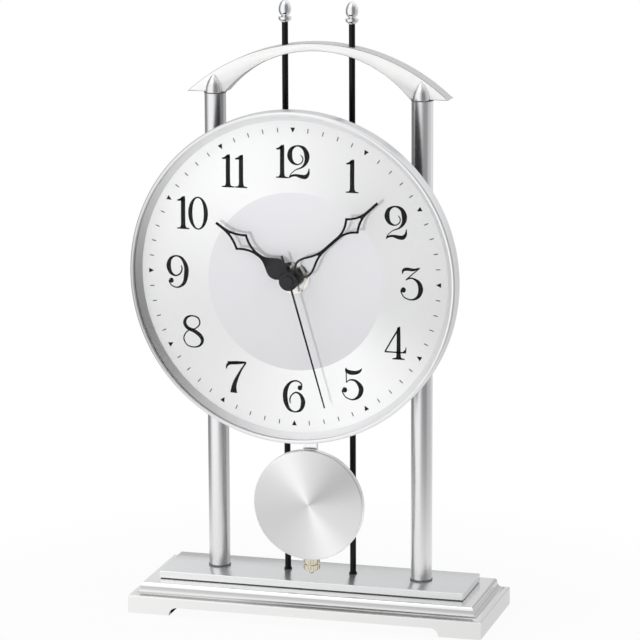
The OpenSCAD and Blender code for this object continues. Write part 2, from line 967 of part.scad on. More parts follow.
module plain_outline(side) {
    linear_extrude(hand_t)
        polygon(both_sides(side));
}

module pierced_outline(side, line) {
    linear_extrude(hand_t)
        difference() {
            polygon(both_sides(side));
            polygon(both_sides(inset_side(side, line)));
        }
}

// A straight tapered piece from r0 to r1 with half-widths w0 and w1.
module taper(r0, r1, w0, w1) {
    linear_extrude(hand_t)
        polygon([[-w0, r0], [w0, r0], [w1, r1], [-w1, r1]]);
}

module hub(r, bore, h0, h1) {
    translate([0, 0, h0])
        tube(2 * r, 2 * bore, h1 - h0);
}

module hour_hand() {
    mid = hour_len * 0.66;
    lozenge = lozenge_side(hour_len * 0.92, mid, hour_len * 0.44, 0.62, 4.55, 0.75);
    spade = spade_side(hour_len * 0.44, 8.2, hour_tube_r + 0.4, 0.75, 5, 1.5);
    color(black)
    placed()
    before(hour_f)
        rotate([0, 0, -hour_angle]) {
            difference() {
                union() {
                    taper(hour_len * 0.915, hour_len, 0.64, 0.57);
                    pierced_outline(lozenge, 1);
                    taper(hour_len * 0.42, hour_len * 0.45, 0.75, 0.75);
                    plain_outline(spade);
                    cylinder(r = 3.5, h = hand_t);
                }
                translate([0, 0, -1])
                    cylinder(r = hour_tube_r, h = hand_t + 2);
            }
            hub(3.5, hour_tube_r, -0.6, 0);
        }
}

module minute_hand() {
    mid = minute_len * 0.71;
    lozenge = lozenge_side(minute_len * 0.88, mid, minute_len * 0.555, 0.65, 4.55, 0.72);
    loop = spade_side(minute_len * 0.48, 9, 4.4, 0.72, 4.5, 2.7);
    color(black)
    placed()
    before(minute_f)
        rotate([0, 0, -minute_angle]) {
            difference() {
                union() {
                    taper(minute_len * 0.875, minute_len, 0.66, 0.6);
                    pierced_outline(lozenge, 1);
                    taper(minute_len * 0.47, minute_len * 0.56, 0.72, 0.72);
                    pierced_outline(loop, 1);
                    taper(cannon_r, 5.2, 1.6, 1.6);
                    cylinder(r = 2.9, h = hand_t);
                }
                translate([0, 0, -1])
                    cylinder(r = cannon_r, h = hand_t + 2);
            }
            hub(2.9, cannon_r, -0.5, 0);
        }
}

module second_hand() {
    color(black)
    placed()
    before(second_f)
        rotate([0, 0, -second_angle])
            difference() {
                union() {
                    taper(0, second_len, 0.45, 0.28);
                    taper(-second_tail, 0, 0.48, 0.45);
                    translate([0, 0, -0.5])
                        cylinder(r = 2, h = 1);
                    translate([0, 0, hand_t])
                        cylinder(d = cap_button_d, h = cap_disc_t - 0.3);
                    translate([0, 0, hand_t + cap_disc_t - 0.3])
                        cylinder(d1 = cap_button_d, d2 = cap_button_d - 0.6, h = 0.3);
                    translate([0, 0, hand_t + cap_disc_t - eps])
                        cylinder(d1 = cap_nub_d, d2 = cap_nub_d - 0.5,
                                 h = cap_top_f - second_f - hand_t - cap_disc_t + eps);
                }
                translate([0, 0, -1])
                    cylinder(r = seconds_r, h = 1 + cap_top_f - second_f - 0.6);
            }
}

// ---- Movement ---------------------------------------------------------------------------

trough_low = 10.4;                              // underside of the battery trough
trough_wall = 0.6;
battery_up = trough_low + trough_wall + battery_d / 2 + slide_gap;
case_up = battery_up + battery_d / 2 + trough_wall + 2 * slide_gap + case_wall;
battery_f = cover_in + 0.2 + battery_d / 2;
nub_h = 1.2;
cell_gap = 0.25;                                // battery to contact, at each end
screw_x = case_w / 2 - 3;
cover_spots = [
    [-screw_x, -case_down + 3], [screw_x, -case_down + 3],
    [-screw_x, 7.6], [screw_x, 7.6]
];
button_x = -15;
button_spots = [-4, -11, -18];
board_f = cover_in + 2.4;
board_t = 0.8;
pivot_z = 6;
magnet_z = -20;
magnet_r = 4;
pivot_r = 0.75;

module pivot_holes(f0, f1) {
    for (place = [rotor_at, step_at])
        at_gear(place)
            arbor(arbor_r + run_gap, f0, f1);
}

module movement_case() {
    w = case_w / 2;
    color(plastic)
    placed()
    difference() {
        union() {
            difference() {
                head_box(-w, w, -case_down, case_up, cover_in, case_f);
                head_box(-w + case_wall, w - case_wall, -case_down + case_wall,
                         case_up - case_wall, cover_in - 1, inner_f);
            }
            before(case_f - eps)
                cylinder(r = bush_r, h = bush_f - case_f + eps);
            before(case_f - eps)
                cylinder(r = 9, h = cushion_t + eps);
            at_gear(minute_at)
                arbor(0.6, minute_wheel_f - 0.5, inner_f + eps);
            for (x = [-23.6, 23.6])
                at_gear([x, -15.6])
                    arbor(1.5, plate_f + middle_t, inner_f + eps);
            for (spot = [cover_spots[2], cover_spots[3]])
                at_gear(spot)
                    arbor(2.6, plate_f + middle_t, inner_f + eps);
            for (x = [-17, 15])
                head_box(x, x + 2, -case_down + case_wall - eps, antenna_z + 2,
                         antenna_f + 2.45, inner_f + eps);
            for (spot = cover_spots)
                at_gear(spot)
                    arbor(pillar_r, cover_in, inner_f + eps);
        }
        before(0)
            arbor(bush_bore, inner_f - 4, bush_f + 1);
        at_gear(third_at)
            arbor(arbor_r + run_gap, inner_f - 1, case_f - 0.4);
        for (spot = cover_spots)
            at_gear(spot)
                arbor(0.9, cover_in - 1, cover_in + 6);
    }
}

module battery_bay(grow, f0) {
    half = battery_len / 2 + nub_h + 0.3;
    translate([-half, 0, battery_up])
        translate([0, -battery_f, dial_z])
            rotate([0, 90, 0])
                cylinder(d = battery_d + 2 * grow, h = 2 * half);
    head_box(-half, half, battery_up - battery_d / 2 - grow, battery_up + battery_d / 2 + grow,
             f0, battery_f);
}

// The cover closes the movement's back and holds the battery trough.
module movement_cover() {
    w = case_w / 2;
    in_w = w - case_wall - slide_gap;
    color(plastic)
    placed()
    difference() {
        union() {
            head_box(-w, w, -case_down, case_up, cover_f, cover_in);
            head_box(-in_w, in_w, trough_low, case_up - case_wall - slide_gap,
                     cover_in - eps, battery_f + battery_d / 2 + 0.9);
            for (z = [-22.4, 3.4])
                at_gear([button_x - 4, z])
                    arbor(1.2, cover_in - eps, board_f);
            for (spot = [[rotor_at[0], -21], [coil_x, -6.1]])
                at_gear(spot)
                    arbor(1.2, cover_in - eps, stator_f);
        }
        battery_bay(slide_gap, cover_f - 1);
        for (z = button_spots)
            at_gear([button_x, z])
                arbor(button_d / 2 + run_gap, cover_f - 1, cover_in + 1);
        for (spot = cover_spots)
            at_gear(spot)
                arbor(1.1, cover_f - 1, cover_in + 1);
        pivot_holes(cover_in - 0.9, cover_in + 1);
        at_gear([0, 0])
            arbor(arbor_r + run_gap, cover_in - 0.9, cover_in + 1);
        at_gear([0, pivot_z])
            arbor(pivot_r, cover_f - 1, cover_in + 1);
    }
}

module cover_screws() {
    color(steel)
    placed()
    for (spot = cover_spots)
        at_gear(spot) {
            arbor(0.85, cover_f, cover_in + 5);
            arbor(1.7, cover_f - 1, cover_f);
        }
}

middle_low = 17.6;

module middle_plate() {
    w = case_w / 2 - case_wall - slide_gap;
    color(steel)
    placed()
    difference() {
        head_box(-w, w, -middle_low, trough_low - slide_gap, plate_f, plate_f + middle_t);
        at_gear([0, 0])
            arbor(plate_bore_r, plate_f - 1, plate_f + 2);
        pivot_holes(plate_f - 1, plate_f + 2);
        at_gear(third_at)
            arbor(arbor_r + run_gap, plate_f - 1, plate_f + 2);
        for (spot = cover_spots)
            at_gear(spot)
                arbor(pillar_r + run_gap, plate_f - 1, plate_f + 2);
    }
}

// Circuit board with one press switch behind each button, a chip and a crystal.
board_left = 5.6;
board_right = 6.6;
board_low = case_down - case_wall - 2.4;
board_high = 5.2;

module circuit_board() {
    color([0.10, 0.35, 0.20])
    placed()
    union() {
        head_box(button_x - board_left, button_x + board_right, -board_low, board_high,
                 board_f, board_f + board_t);
        for (z = button_spots)
            at_gear([button_x, z])
                arbor(1.8, board_f - 0.3, board_f + eps);
        head_box(button_x - 3, button_x + 2, -14, -9, board_f + board_t - eps,
                 board_f + board_t + 1);
        head_box(button_x - 3, button_x + 4, -1, 1, board_f + board_t - eps,
                 board_f + board_t + 1.6);
    }
}

// Ferrite bar with its winding, lying along the bottom of the case.
antenna_z = -22.4;
antenna_f = inner_f - 4.6;
ferrite_d = 5;
ferrite_l = case_w - 12;
antenna_coil_d = 7.6;
antenna_coil_l = 20;

module radio_antenna() {
    color(copper)
    placed()
    translate([0, -antenna_f, dial_z + antenna_z])
        rotate([0, 90, 0]) {
            translate([0, 0, -ferrite_l / 2])
                cylinder(d = ferrite_d, h = ferrite_l);
            translate([0, 0, -antenna_coil_l / 2])
                cylinder(d = antenna_coil_d, h = antenna_coil_l);
        }
}

coil_x = 21;
stator_f = cover_in + 1.6;
stator_t = 1.8;

// Laminated iron plate: a ring round the rotor with an arm to each end of the coil.
module stator() {
    color(steel)
    placed()
    difference() {
        union() {
            head_box(rotor_at[0] - 4.4, rotor_at[0] + 4.4, rotor_at[1] - 4.4, rotor_at[1] + 4.4,
                     stator_f, stator_f + stator_t);
            head_box(rotor_at[0], coil_x + 1.6, -7.4, -4.9, stator_f, stator_f + stator_t);
            head_box(rotor_at[0] - 1.6, rotor_at[0] + 1.6, -24.6, -13, stator_f,
                     stator_f + stator_t);
            head_box(rotor_at[0] - 1.6, coil_x + 1.6, -24.6, -22.2, stator_f,
                     stator_f + stator_t);
        }
        at_gear(rotor_at)
            arbor(2.9, stator_f - 1, stator_f + stator_t + 1);
    }
}

module step_coil() {
    color(copper)
    placed()
    translate([coil_x, -(stator_f + stator_t / 2), dial_z - 22.1])
        cylinder(r = 2.3, h = 14.6);
}

module drive_coil() {
    color(copper)
    placed()
    at_gear([0, magnet_z])
        difference() {
            arbor(5.4, cover_in, cover_in + 4.4);
            arbor(1.6, cover_in + 1, cover_in + 6);
        }
}

module battery_contacts() {
    end = battery_len / 2 + nub_h + 0.3;
    color(steel)
    placed()
    for (side = [-1, 1])
        head_box(side > 0 ? end - 0.2 : -end, side > 0 ? end : -end + nub_h + 0.3 - cell_gap,
                 battery_up - 3.4, battery_up + 3.4, battery_f - 3.4, battery_f + 3.4);
}

module battery() {
    color([0.25, 0.27, 0.30])
    placed()
    translate([-battery_len / 2, -battery_f, dial_z + battery_up])
        rotate([0, 90, 0]) {
            cylinder(d = battery_d, h = battery_len);
            cylinder(d = 5.4, h = battery_len + nub_h);
        }
}

// A push button: a cap that stands out behind, a flange that keeps it in, and a stem.
module push_button(z) {
    at_gear([button_x, z]) {
        arbor(button_d / 2, cover_f - 1.3, cover_in + slide_gap + 0.1);
        arbor(button_d / 2 + 0.6, cover_in + slide_gap, cover_in + slide_gap + 0.6);
        arbor(0.9, cover_in + slide_gap, board_f - 0.3 - button_travel - slide_gap);
    }
}

module set_button() {
    color(white_plastic) placed() push_button(button_spots[0]);
}

module receive_button() {
    color(white_plastic) placed() push_button(button_spots[1]);
}

module reset_button() {
    color(white_plastic) placed() push_button(button_spots[2]);
}

// ---- Pendulum ---------------------------------------------------------------------------

strip_face = 15.2;                              // front face of the strip
strip_wall = 0.6;
hook_z = -1;
hook_r = 1;
lever_f = strip_face + 0.6;
lever_t = 2;
lever_w = 4.8;
eye_r = 3.4;
bob_z = dial_z - bob_drop;
bob_back = strip_face + slide_gap;
nut_top = bob_z - bob_d / 2 - run_gap;
nut_z = nut_top - nut_h;
stud_end = nut_z - 1.9;
stud_f = strip_face - strip_wall - slide_gap - stud_d / 2;
block_z = bob_z - bob_d / 2 + 9;                // underside of the block in the strip's end
strip_low = block_z;

module pivot_pin() {
    color(steel)
    placed()
    at_gear([0, pivot_z])
        union() {
            arbor(pivot_r, lever_f - 1.4, cover_in);
            arbor(1.5, lever_f - 1.4, lever_f - 0.4);
        }
}

// Plastic lever on the movement's back. The strip hooks on the stud at its front.
module pendulum_lever() {
    color(white_plastic)
    placed()
    difference() {
        union() {
            at_gear([0, pivot_z])
                arbor(eye_r, lever_f, lever_f + lever_t);
            head_box(-lever_w / 2, lever_w / 2, magnet_z, pivot_z, lever_f, lever_f + lever_t);
            at_gear([0, magnet_z])
                arbor(magnet_r + 0.8, lever_f, lever_f + lever_t);
            at_gear([0, hook_z])
                arbor(hook_r, strip_face - strip_d, lever_f + eps);
        }
        at_gear([0, pivot_z])
            arbor(pivot_r + run_gap, lever_f - 1, lever_f + lever_t + 1);
        at_gear([0, magnet_z])
            arbor(magnet_r, lever_f + 0.8, lever_f + lever_t + 1);
    }
}

module lever_magnet() {
    color(steel)
    placed()
    at_gear([0, magnet_z])
        arbor(magnet_r, lever_f + 0.8, lever_f + lever_t + 0.6);
}

// Folded metal channel, open to the back, from the hook down behind the bob.
module pendulum_strip() {
    color(chrome)
    placed()
    difference() {
        head_box(-strip_w / 2, strip_w / 2, strip_low - dial_z, hook_z + 3.4,
                 strip_face - strip_d, strip_face);
        head_box(-strip_w / 2 + strip_wall, strip_w / 2 - strip_wall, strip_low - dial_z - 1,
                 hook_z + 5, strip_face - strip_d - 1, strip_face - strip_wall);
        at_gear([0, hook_z])
            arbor(hook_r + run_gap, strip_face - strip_d - 1, strip_face + 1);
    }
}

// Threaded stud on a block that is brazed into the strip's lower end.
module pendulum_stud() {
    color(brass)
    placed()
    union() {
        head_box(-strip_w / 2 + strip_wall, strip_w / 2 - strip_wall, block_z - dial_z,
                 block_z - dial_z + 8, strip_face - strip_d, strip_face - strip_wall);
        translate([0, -stud_f, stud_end + 0.8])
            cylinder(d = stud_d, h = block_z - stud_end);
        translate([0, -stud_f, stud_end])
            cylinder(d1 = stud_d - 1, d2 = stud_d, h = 0.8);
    }
}

// Round disc with softened edges, and a loop behind it that slides on the strip.
module bob() {
    edge = 0.5;
    loop_in = strip_w / 2 + slide_gap;
    loop_back = strip_face - strip_d - slide_gap;
    color(steel)
    placed()
    union() {
        translate([0, 0, bob_z - dial_z])
            before(bob_back)
                rotate_extrude($fn = 120)
                    polygon([
                        [0, 0], [bob_d / 2 - edge, 0], [bob_d / 2, edge],
                        [bob_d / 2, bob_t - edge], [bob_d / 2 - edge, bob_t], [0, bob_t]
                    ]);
        for (side = [-1, 1])
            head_box(side > 0 ? loop_in : -loop_in - 1, side > 0 ? loop_in + 1 : -loop_in,
                     bob_z - dial_z - 5, bob_z - dial_z + 7, loop_back - 1, bob_back + eps);
        head_box(-loop_in - 1, loop_in + 1, bob_z - dial_z - 5, bob_z - dial_z + 7,
                 loop_back - 1, loop_back);
    }
}

// Knurled outline: small even teeth round a circle.
function knurl(r, depth, count) = [
    for (k = [0:count - 1])
        for (e = [[0, 0], [0.25, depth], [0.75, depth], [1, 0]])
            if (e[0] < 1)
            [(r - depth + e[1]) * cos((k + e[0]) * 360 / count),
             (r - depth + e[1]) * sin((k + e[0]) * 360 / count)]
];

module rating_nut() {
    flange_h = nut_h * 0.4;
    color(brass)
    placed()
    translate([0, -stud_f, nut_z])
        difference() {
            union() {
                for (z = [0.5, nut_h - flange_h])
                    translate([0, 0, z])
                        linear_extrude(z > 1 ? flange_h : flange_h - 0.2)
                            polygon(knurl(nut_d / 2, 0.3, 18));
                cylinder(d = nut_d - 1.6, h = nut_h);
            }
            translate([0, 0, -1])
                cylinder(d = stud_d + 2 * run_gap, h = nut_h + 2);
        }
}

// ---- Carrier ----------------------------------------------------------------------------

bridge_f = -bridge_y;                           // rear face, as a front distance
bridge_front = bridge_f + bridge_t;
bridge_top_z = dial_z + case_up + 0.9 + bridge_bar / 2;
bridge_low_z = dial_z - case_down - 6 - bridge_bar / 2;
bridge_w = post_span + 8;
spacer_x = case_w / 2 + 8;

// The four fixing places of the spacers, seen around the dial's centre.
module at_spacers() {
    for (side = [-1, 1])
        for (z = [bridge_top_z - dial_z, bridge_low_z - dial_z])
            translate([side * spacer_x, 0, z])
                children();
}

module bridge_frame() {
    low = bridge_low_z - dial_z - bridge_bar / 2;
    high = bridge_top_z - dial_z + bridge_bar / 2;
    column = spacer_x + spacer_d / 2;
    color(steel)
    placed()
    difference() {
        union() {
            for (z = [low, high - bridge_bar])
                head_box(-bridge_w / 2, bridge_w / 2, z, z + bridge_bar,
                         bridge_f, bridge_front);
            for (side = [-1, 1])
                head_box(side > 0 ? column - 6 : -column, side > 0 ? column : -column + 6,
                         low, high, bridge_f, bridge_front);
        }
        at_spacers()
            before(bridge_f - 1)
                cylinder(d = screw_d + 2 * run_gap, h = bridge_t + 2);
        for (side = [-1, 1])
            for (z = [bridge_top_z, bridge_low_z])
                translate([side * post_x, bridge_y + 1, z])
                    rotate([90, 0, 0])
                        cylinder(d = screw_d + 2 * run_gap, h = bridge_t + 2);
    }
}

module bridge_spacers() {
    color(steel)
    placed()
    at_spacers()
        before(bridge_front)
            tube(spacer_d, screw_d + 2 * run_gap, pan_f - bridge_front);
}

// A pan-head screw along the front direction: head on the side that way points to.
module frame_screw(f, way) {
    before(f)
        rotate([way > 0 ? 0 : 180, 0, 0]) {
            translate([0, 0, -4.2])
                cylinder(d = screw_d, h = 4.2);
            cylinder(d = screw_d + 2.3, h = 1.6);
        }
}

module frame_screws() {
    color(steel)
    placed()
    union() {
        at_spacers() {
            frame_screw(pan_f + 2, 1);
            frame_screw(bridge_f, -1);
        }
        for (side = [-1, 1])
            for (z = [bridge_top_z, bridge_low_z])
                translate([side * post_x, 0, z - dial_z])
                    frame_screw(bridge_front, 1);
    }
}

base_plinth();
foot_pads();
base_weight();
plate_gasket();
top_plate();
left_post();
right_post();
post_rings();
tie_rods();
tie_nuts();
left_rod();
right_rod();
rod_collars();
rod_nuts();
rod_finials();
crown_arch();
crown_caps();
crown_screws();
bezel();
glass_dome();
sloping_ring();
dial_plate();
case_pan();
dial_washer();
centre_nut();
movement_case();
movement_cover();
cover_screws();
middle_plate();
circuit_board();
radio_antenna();
stator();
step_coil();
drive_coil();
battery_contacts();
battery();
set_button();
receive_button();
reset_button();
rotor();
step_wheel();
seconds_wheel();
third_wheel();
centre_wheel();
minute_wheel();
hour_wheel();
hour_hand();
minute_hand();
second_hand();
pivot_pin();
pendulum_lever();
lever_magnet();
pendulum_strip();
pendulum_stud();
bob();
rating_nut();
bridge_frame();
bridge_spacers();
frame_screws();
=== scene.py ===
"""Looks of a desk pendulum clock: a glazed round dial on two tube posts over a moulded base.

Sizes are in millimetres and become metres when a mesh is made. X runs to the right, Y to the
back and Z up. A piece on the head is drawn by x, z' and f: z' is the height above the dial's
centre, and f the distance in front of the base's middle plane.
"""

import bpy
import json
import numpy as np
from mathutils import Matrix

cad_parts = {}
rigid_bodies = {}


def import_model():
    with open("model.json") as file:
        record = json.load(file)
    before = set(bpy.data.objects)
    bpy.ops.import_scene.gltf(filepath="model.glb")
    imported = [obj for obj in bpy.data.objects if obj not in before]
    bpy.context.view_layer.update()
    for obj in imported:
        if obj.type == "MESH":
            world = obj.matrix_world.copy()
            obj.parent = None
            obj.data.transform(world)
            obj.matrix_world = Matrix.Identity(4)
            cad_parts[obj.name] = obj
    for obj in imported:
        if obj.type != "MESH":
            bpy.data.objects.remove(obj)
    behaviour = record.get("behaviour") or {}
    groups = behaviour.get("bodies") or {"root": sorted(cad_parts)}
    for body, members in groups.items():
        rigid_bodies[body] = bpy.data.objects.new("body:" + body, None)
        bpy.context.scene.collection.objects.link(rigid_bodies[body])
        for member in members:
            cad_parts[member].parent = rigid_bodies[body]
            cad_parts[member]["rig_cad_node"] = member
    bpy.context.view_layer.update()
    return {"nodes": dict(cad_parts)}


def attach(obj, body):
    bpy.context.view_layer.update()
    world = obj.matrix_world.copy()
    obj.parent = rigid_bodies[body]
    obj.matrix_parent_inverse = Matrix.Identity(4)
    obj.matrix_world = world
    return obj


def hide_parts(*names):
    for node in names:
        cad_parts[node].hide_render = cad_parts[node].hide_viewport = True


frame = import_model()
nodes = frame["nodes"]
scene = bpy.context.scene
scene.view_settings.view_transform = "Standard"

# ---- Camera -------------------------------------------------------------------------
# A long lens about 1.7 m away, a little to the right of the clock and above it. The four
# columns are its right, up and back directions and its place in metres.
lens = bpy.data.cameras.new("camera")
lens.lens = 204.78
lens.sensor_width = 36.0
lens.clip_end = 20.0
camera = bpy.data.objects.new("camera", lens)
scene.collection.objects.link(camera)
camera_axes = np.eye(4)
camera_axes[:3, 0] = (0.96255, 0.27109, -0.00400)
camera_axes[:3, 1] = (-0.05400, 0.20616, 0.97703)
camera_axes[:3, 2] = (0.26568, -0.94022, 0.21308)
camera_axes[:3, 3] = (0.45226, -1.58208, 0.50257)
camera.matrix_world = Matrix(camera_axes.tolist())
scene.camera = camera


# ---- Room ---------------------------------------------------------------------------
# A pale sweep under and around the clock, white where the camera looks. Polished metal
# sees a bright panel at the left, a grey side at the right and the pale back wall.
def link(tree, source, target):
    """Joins an output socket to an input socket."""
    tree.links.new(source, target)


def cleared(holder):
    """The empty node tree of a material or world."""
    holder.use_nodes = True
    holder.node_tree.nodes.clear()
    return holder.node_tree


def node(tree, kind, **values):
    """A shader node with its settings and its unlinked sockets filled in."""
    made = tree.nodes.new(kind)
    for key, value in values.items():
        if key.startswith("in_"):
            socket = int(key[3:]) if key[3:].isdigit() else key[3:].replace("_", " ")
            made.inputs[socket].default_value = value
        else:
            setattr(made, key, value)
    return made


def math(tree, operation, a, b=None):
    """a (operation) b on sockets or plain numbers."""
    made = node(tree, "ShaderNodeMath", operation=operation)
    for index, value in enumerate((a, b)):
        if value is None:
            continue
        if isinstance(value, (int, float)):
            made.inputs[index].default_value = value
        else:
            link(tree, value, made.inputs[index])
    return made.outputs[0]


def plus(tree, a, b):
    """a + b."""
    return math(tree, "ADD", a, b)


def minus(tree, a, b):
    """a - b."""
    return math(tree, "SUBTRACT", a, b)


def times(tree, a, b):
    """a * b."""
    return math(tree, "MULTIPLY", a, b)


def length(tree, a, b):
    """The square root of a squared plus b squared."""
    return math(tree, "SQRT", plus(tree, times(tree, a, a), times(tree, b, b)))


def spread(tree, value, low, high, to_low, to_high):
    """Smooth change from to_low to to_high as value goes from low to high."""
    made = node(tree, "ShaderNodeMapRange", interpolation_type="SMOOTHSTEP",
                in_1=low, in_2=high, in_3=to_low, in_4=to_high)
    link(tree, value, made.inputs[0])
    return made.outputs[0]


def around(tree, direction):
    """How bright polished metal finds the room in a direction: a panel at the front left, the
    pale wall behind, a grey gap at the front right. Azimuth 0 is the front, positive right."""
    flat = node(tree, "ShaderNodeVectorMath", operation="MULTIPLY", in_1=(1, 1, 0))
    link(tree, direction, flat.inputs[0])
    level = node(tree, "ShaderNodeVectorMath", operation="NORMALIZE")
    link(tree, flat.outputs[0], level.inputs[0])
    total = 0.28
    for azimuth, wide, narrow, amount in (
            (-32, 60, 16, 0.90), (175, 60, 30, 0.34), (112, 46, 22, 0.30)):
        a = np.radians(azimuth)
        towards = (float(np.sin(a)), float(-np.cos(a)), 0)
        dot = node(tree, "ShaderNodeVectorMath", operation="DOT_PRODUCT", in_1=towards)
        link(tree, level.outputs[0], dot.inputs[0])
        outer, inner = (float(np.cos(np.radians(degrees))) for degrees in (wide, narrow))
        share = spread(tree, dot.outputs["Value"], outer, inner, 0.0, amount)
        total = plus(tree, share, total)
    return total


world = bpy.data.worlds.new("studio")
scene.world = world
tree = cleared(world)
place = node(tree, "ShaderNodeTexCoord")
height = node(tree, "ShaderNodeSeparateXYZ")
link(tree, place.outputs["Generated"], height.inputs[0])
depth, up = height.outputs[1], height.outputs[2]
panels = plus(tree, around(tree, place.outputs["Generated"]), spread(tree, up, 0.45, 0.9, 0.0, 0.5))
wall = times(tree, spread(tree, up, 0.0, 0.14, 0.0, 0.2), spread(tree, depth, -0.1, 0.5, 0.0, 1.0))
panels = plus(tree, panels, times(tree, wall, spread(tree, up, 0.5, 0.85, 1.0, 0.0)))
rays = node(tree, "ShaderNodeLightPath")
seen = math(tree, "MAXIMUM", rays.outputs["Is Camera Ray"], rays.outputs["Is Transmission Ray"])
plain = node(tree, "ShaderNodeBackground", in_Color=(1, 1, 1, 1))
link(tree, plus(tree, times(tree, seen, 0.42), 0.58), plain.inputs["Strength"])
tent = node(tree, "ShaderNodeBackground", in_Color=(0.985, 0.99, 1.0, 1))
link(tree, panels, tent.inputs["Strength"])
choose = node(tree, "ShaderNodeMixShader")
link(tree, rays.outputs["Is Glossy Ray"], choose.inputs[0])
link(tree, plain.outputs[0], choose.inputs[1])
link(tree, tent.outputs[0], choose.inputs[2])
link(tree, choose.outputs[0], node(tree, "ShaderNodeOutputWorld").inputs[0])

floor_ring = np.radians(np.arange(0, 360, 3.75))
floor_mesh = bpy.data.meshes.new("floor")
floor_mesh.from_pydata(
    np.stack([0.9 * np.cos(floor_ring), 0.9 * np.sin(floor_ring),
              np.full(floor_ring.shape, -0.0002)], axis=1).tolist(),
    [], [list(range(len(floor_ring)))])
floor = bpy.data.objects.new("floor", floor_mesh)
scene.collection.objects.link(floor)
paper = bpy.data.materials.new("white_paper")
tree = cleared(paper)
card = node(tree, "ShaderNodeBsdfDiffuse", in_Color=(0.93, 0.93, 0.93, 1))
white = node(tree, "ShaderNodeEmission", in_Color=(1, 1, 1, 1), in_Strength=1.0)
rays = node(tree, "ShaderNodeLightPath")
place = node(tree, "ShaderNodeTexCoord")
reach = node(tree, "ShaderNodeVectorMath", operation="LENGTH")
link(tree, place.outputs["Object"], reach.inputs[0])
share = spread(tree, reach.outputs["Value"], 0.10, 0.26, 0.93, 1.0)
seen = math(tree, "MAXIMUM", rays.outputs["Is Camera Ray"], rays.outputs["Is Transmission Ray"])
seen = math(tree, "MAXIMUM", seen, rays.outputs["Is Glossy Ray"])
near = node(tree, "ShaderNodeMixShader")
link(tree, times(tree, seen, share), near.inputs[0])
link(tree, card.outputs[0], near.inputs[1])
link(tree, white.outputs[0], near.inputs[2])
sweep = node(tree, "ShaderNodeEmission", in_Color=(0.99, 0.99, 1, 1))
link(tree, around(tree, place.outputs["Object"]), sweep.inputs["Strength"])
far = spread(tree, reach.outputs["Value"], 0.12, 0.36, 0.0, 1.0)
mix = node(tree, "ShaderNodeMixShader")
link(tree, times(tree, rays.outputs["Is Glossy Ray"], far), mix.inputs[0])
link(tree, near.outputs[0], mix.inputs[1])
link(tree, sweep.outputs[0], mix.inputs[2])
link(tree, mix.outputs[0], node(tree, "ShaderNodeOutputMaterial").inputs[0])
floor_mesh.materials.append(paper)

for name, place, size, watts in (("key", (-1.6, -1.2, 1.9), 1.2, 9), ("fill", (1.7, -0.6, 1.5), 1.0, 3),
                                 ("front", (-0.32, -1.95, 0.04), 0.2, 14)):
    lamp = bpy.data.lights.new(name, "AREA")
    lamp.shape = "DISK"
    lamp.size = size
    lamp.energy = watts
    stand = bpy.data.objects.new(name, lamp)
    scene.collection.objects.link(stand)
    stand.visible_glossy = False
    aim = np.array([0, 0, 0.15]) - np.array(place)
    back = -aim / np.linalg.norm(aim)
    side = np.cross([0, 0, 1], back)
    side /= np.linalg.norm(side)
    turn = np.eye(4)
    turn[:3, 0], turn[:3, 1], turn[:3, 2], turn[:3, 3] = side, np.cross(back, side), back, place
    stand.matrix_world = Matrix(turn.tolist())


# ---- Base casting -------------------------------------------------------------------
# A zinc casting with a hollow curve and a round edge all round, mitred at the corners,
# polished and chrome plated. It stands on four feet and is open underneath; a rib with a
# straight corner stands behind each foot's round one.
def piece(name, points, faces, body, replaced, sharp=32.0):
    """A closed mesh from points in mm and its faces, turned outwards. It is smooth over edges up
    to sharp degrees, and its caps, which have more than four corners, are flat."""
    mesh = bpy.data.meshes.new(name)
    mesh.from_pydata((np.asarray(points, float) * 0.001).tolist(), [], faces)
    mesh.update()
    mesh.calc_loop_triangles()
    corners = np.zeros(len(mesh.loop_triangles) * 3, int)
    mesh.loop_triangles.foreach_get("vertices", corners)
    tri = np.asarray(points, float)[corners.reshape(-1, 3)]
    if np.einsum("ij,ij->", tri[:, 0], np.cross(tri[:, 1], tri[:, 2])) < 0:
        mesh.flip_normals()
    mesh.polygons.foreach_set("use_smooth", [len(p.vertices) <= 4 for p in mesh.polygons])
    mesh.set_sharp_from_angle(angle=float(np.radians(sharp)))
    made = bpy.data.objects.new(name, mesh)
    scene.collection.objects.link(made)
    if body:
        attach(made, body)
    if replaced:
        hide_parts(*replaced)
    return made


def grid_faces(rings, across, closed_rings):
    """Quads between ring i and i+1 of a grid whose rings close; the last may join the first."""
    i = np.arange(rings if closed_rings else rings - 1)[:, None]
    j = np.arange(across)[None, :]
    k, m = (i + 1) % rings, (j + 1) % across
    quads = np.stack([i * across + j, i * across + m, k * across + m, k * across + j], axis=-1)
    return quads.reshape(-1, 4).tolist()


def skin(name, rows, body=None, replaced=(), closed_rings=False, sharp=32.0):
    """Surface through rows[i, j], point j of ring i; open ends get a flat cap."""
    rows = np.asarray(rows, float)
    rings, across = rows.shape[:2]
    faces = grid_faces(rings, across, closed_rings)
    if not closed_rings:
        faces.append(list(range(across))[::-1])
        faces.append(list(range((rings - 1) * across, rings * across)))
    return piece(name, rows.reshape(-1, 3), faces, body, replaced, sharp)


def arc(centre, radius, start, end, steps):
    """Points on a circle from start to end degrees."""
    a = np.radians(np.linspace(start, end, steps))
    return np.stack([centre[0] + radius * np.cos(a), centre[1] + radius * np.sin(a)], axis=1)


def prism(name, outline, z0, z1):
    """An outline in X and Y carried straight up from z0 to z1."""
    outline = np.asarray(outline, float)
    rows = [np.column_stack([outline, np.full(len(outline), z)]) for z in (z0, z1)]
    return skin(name, rows)


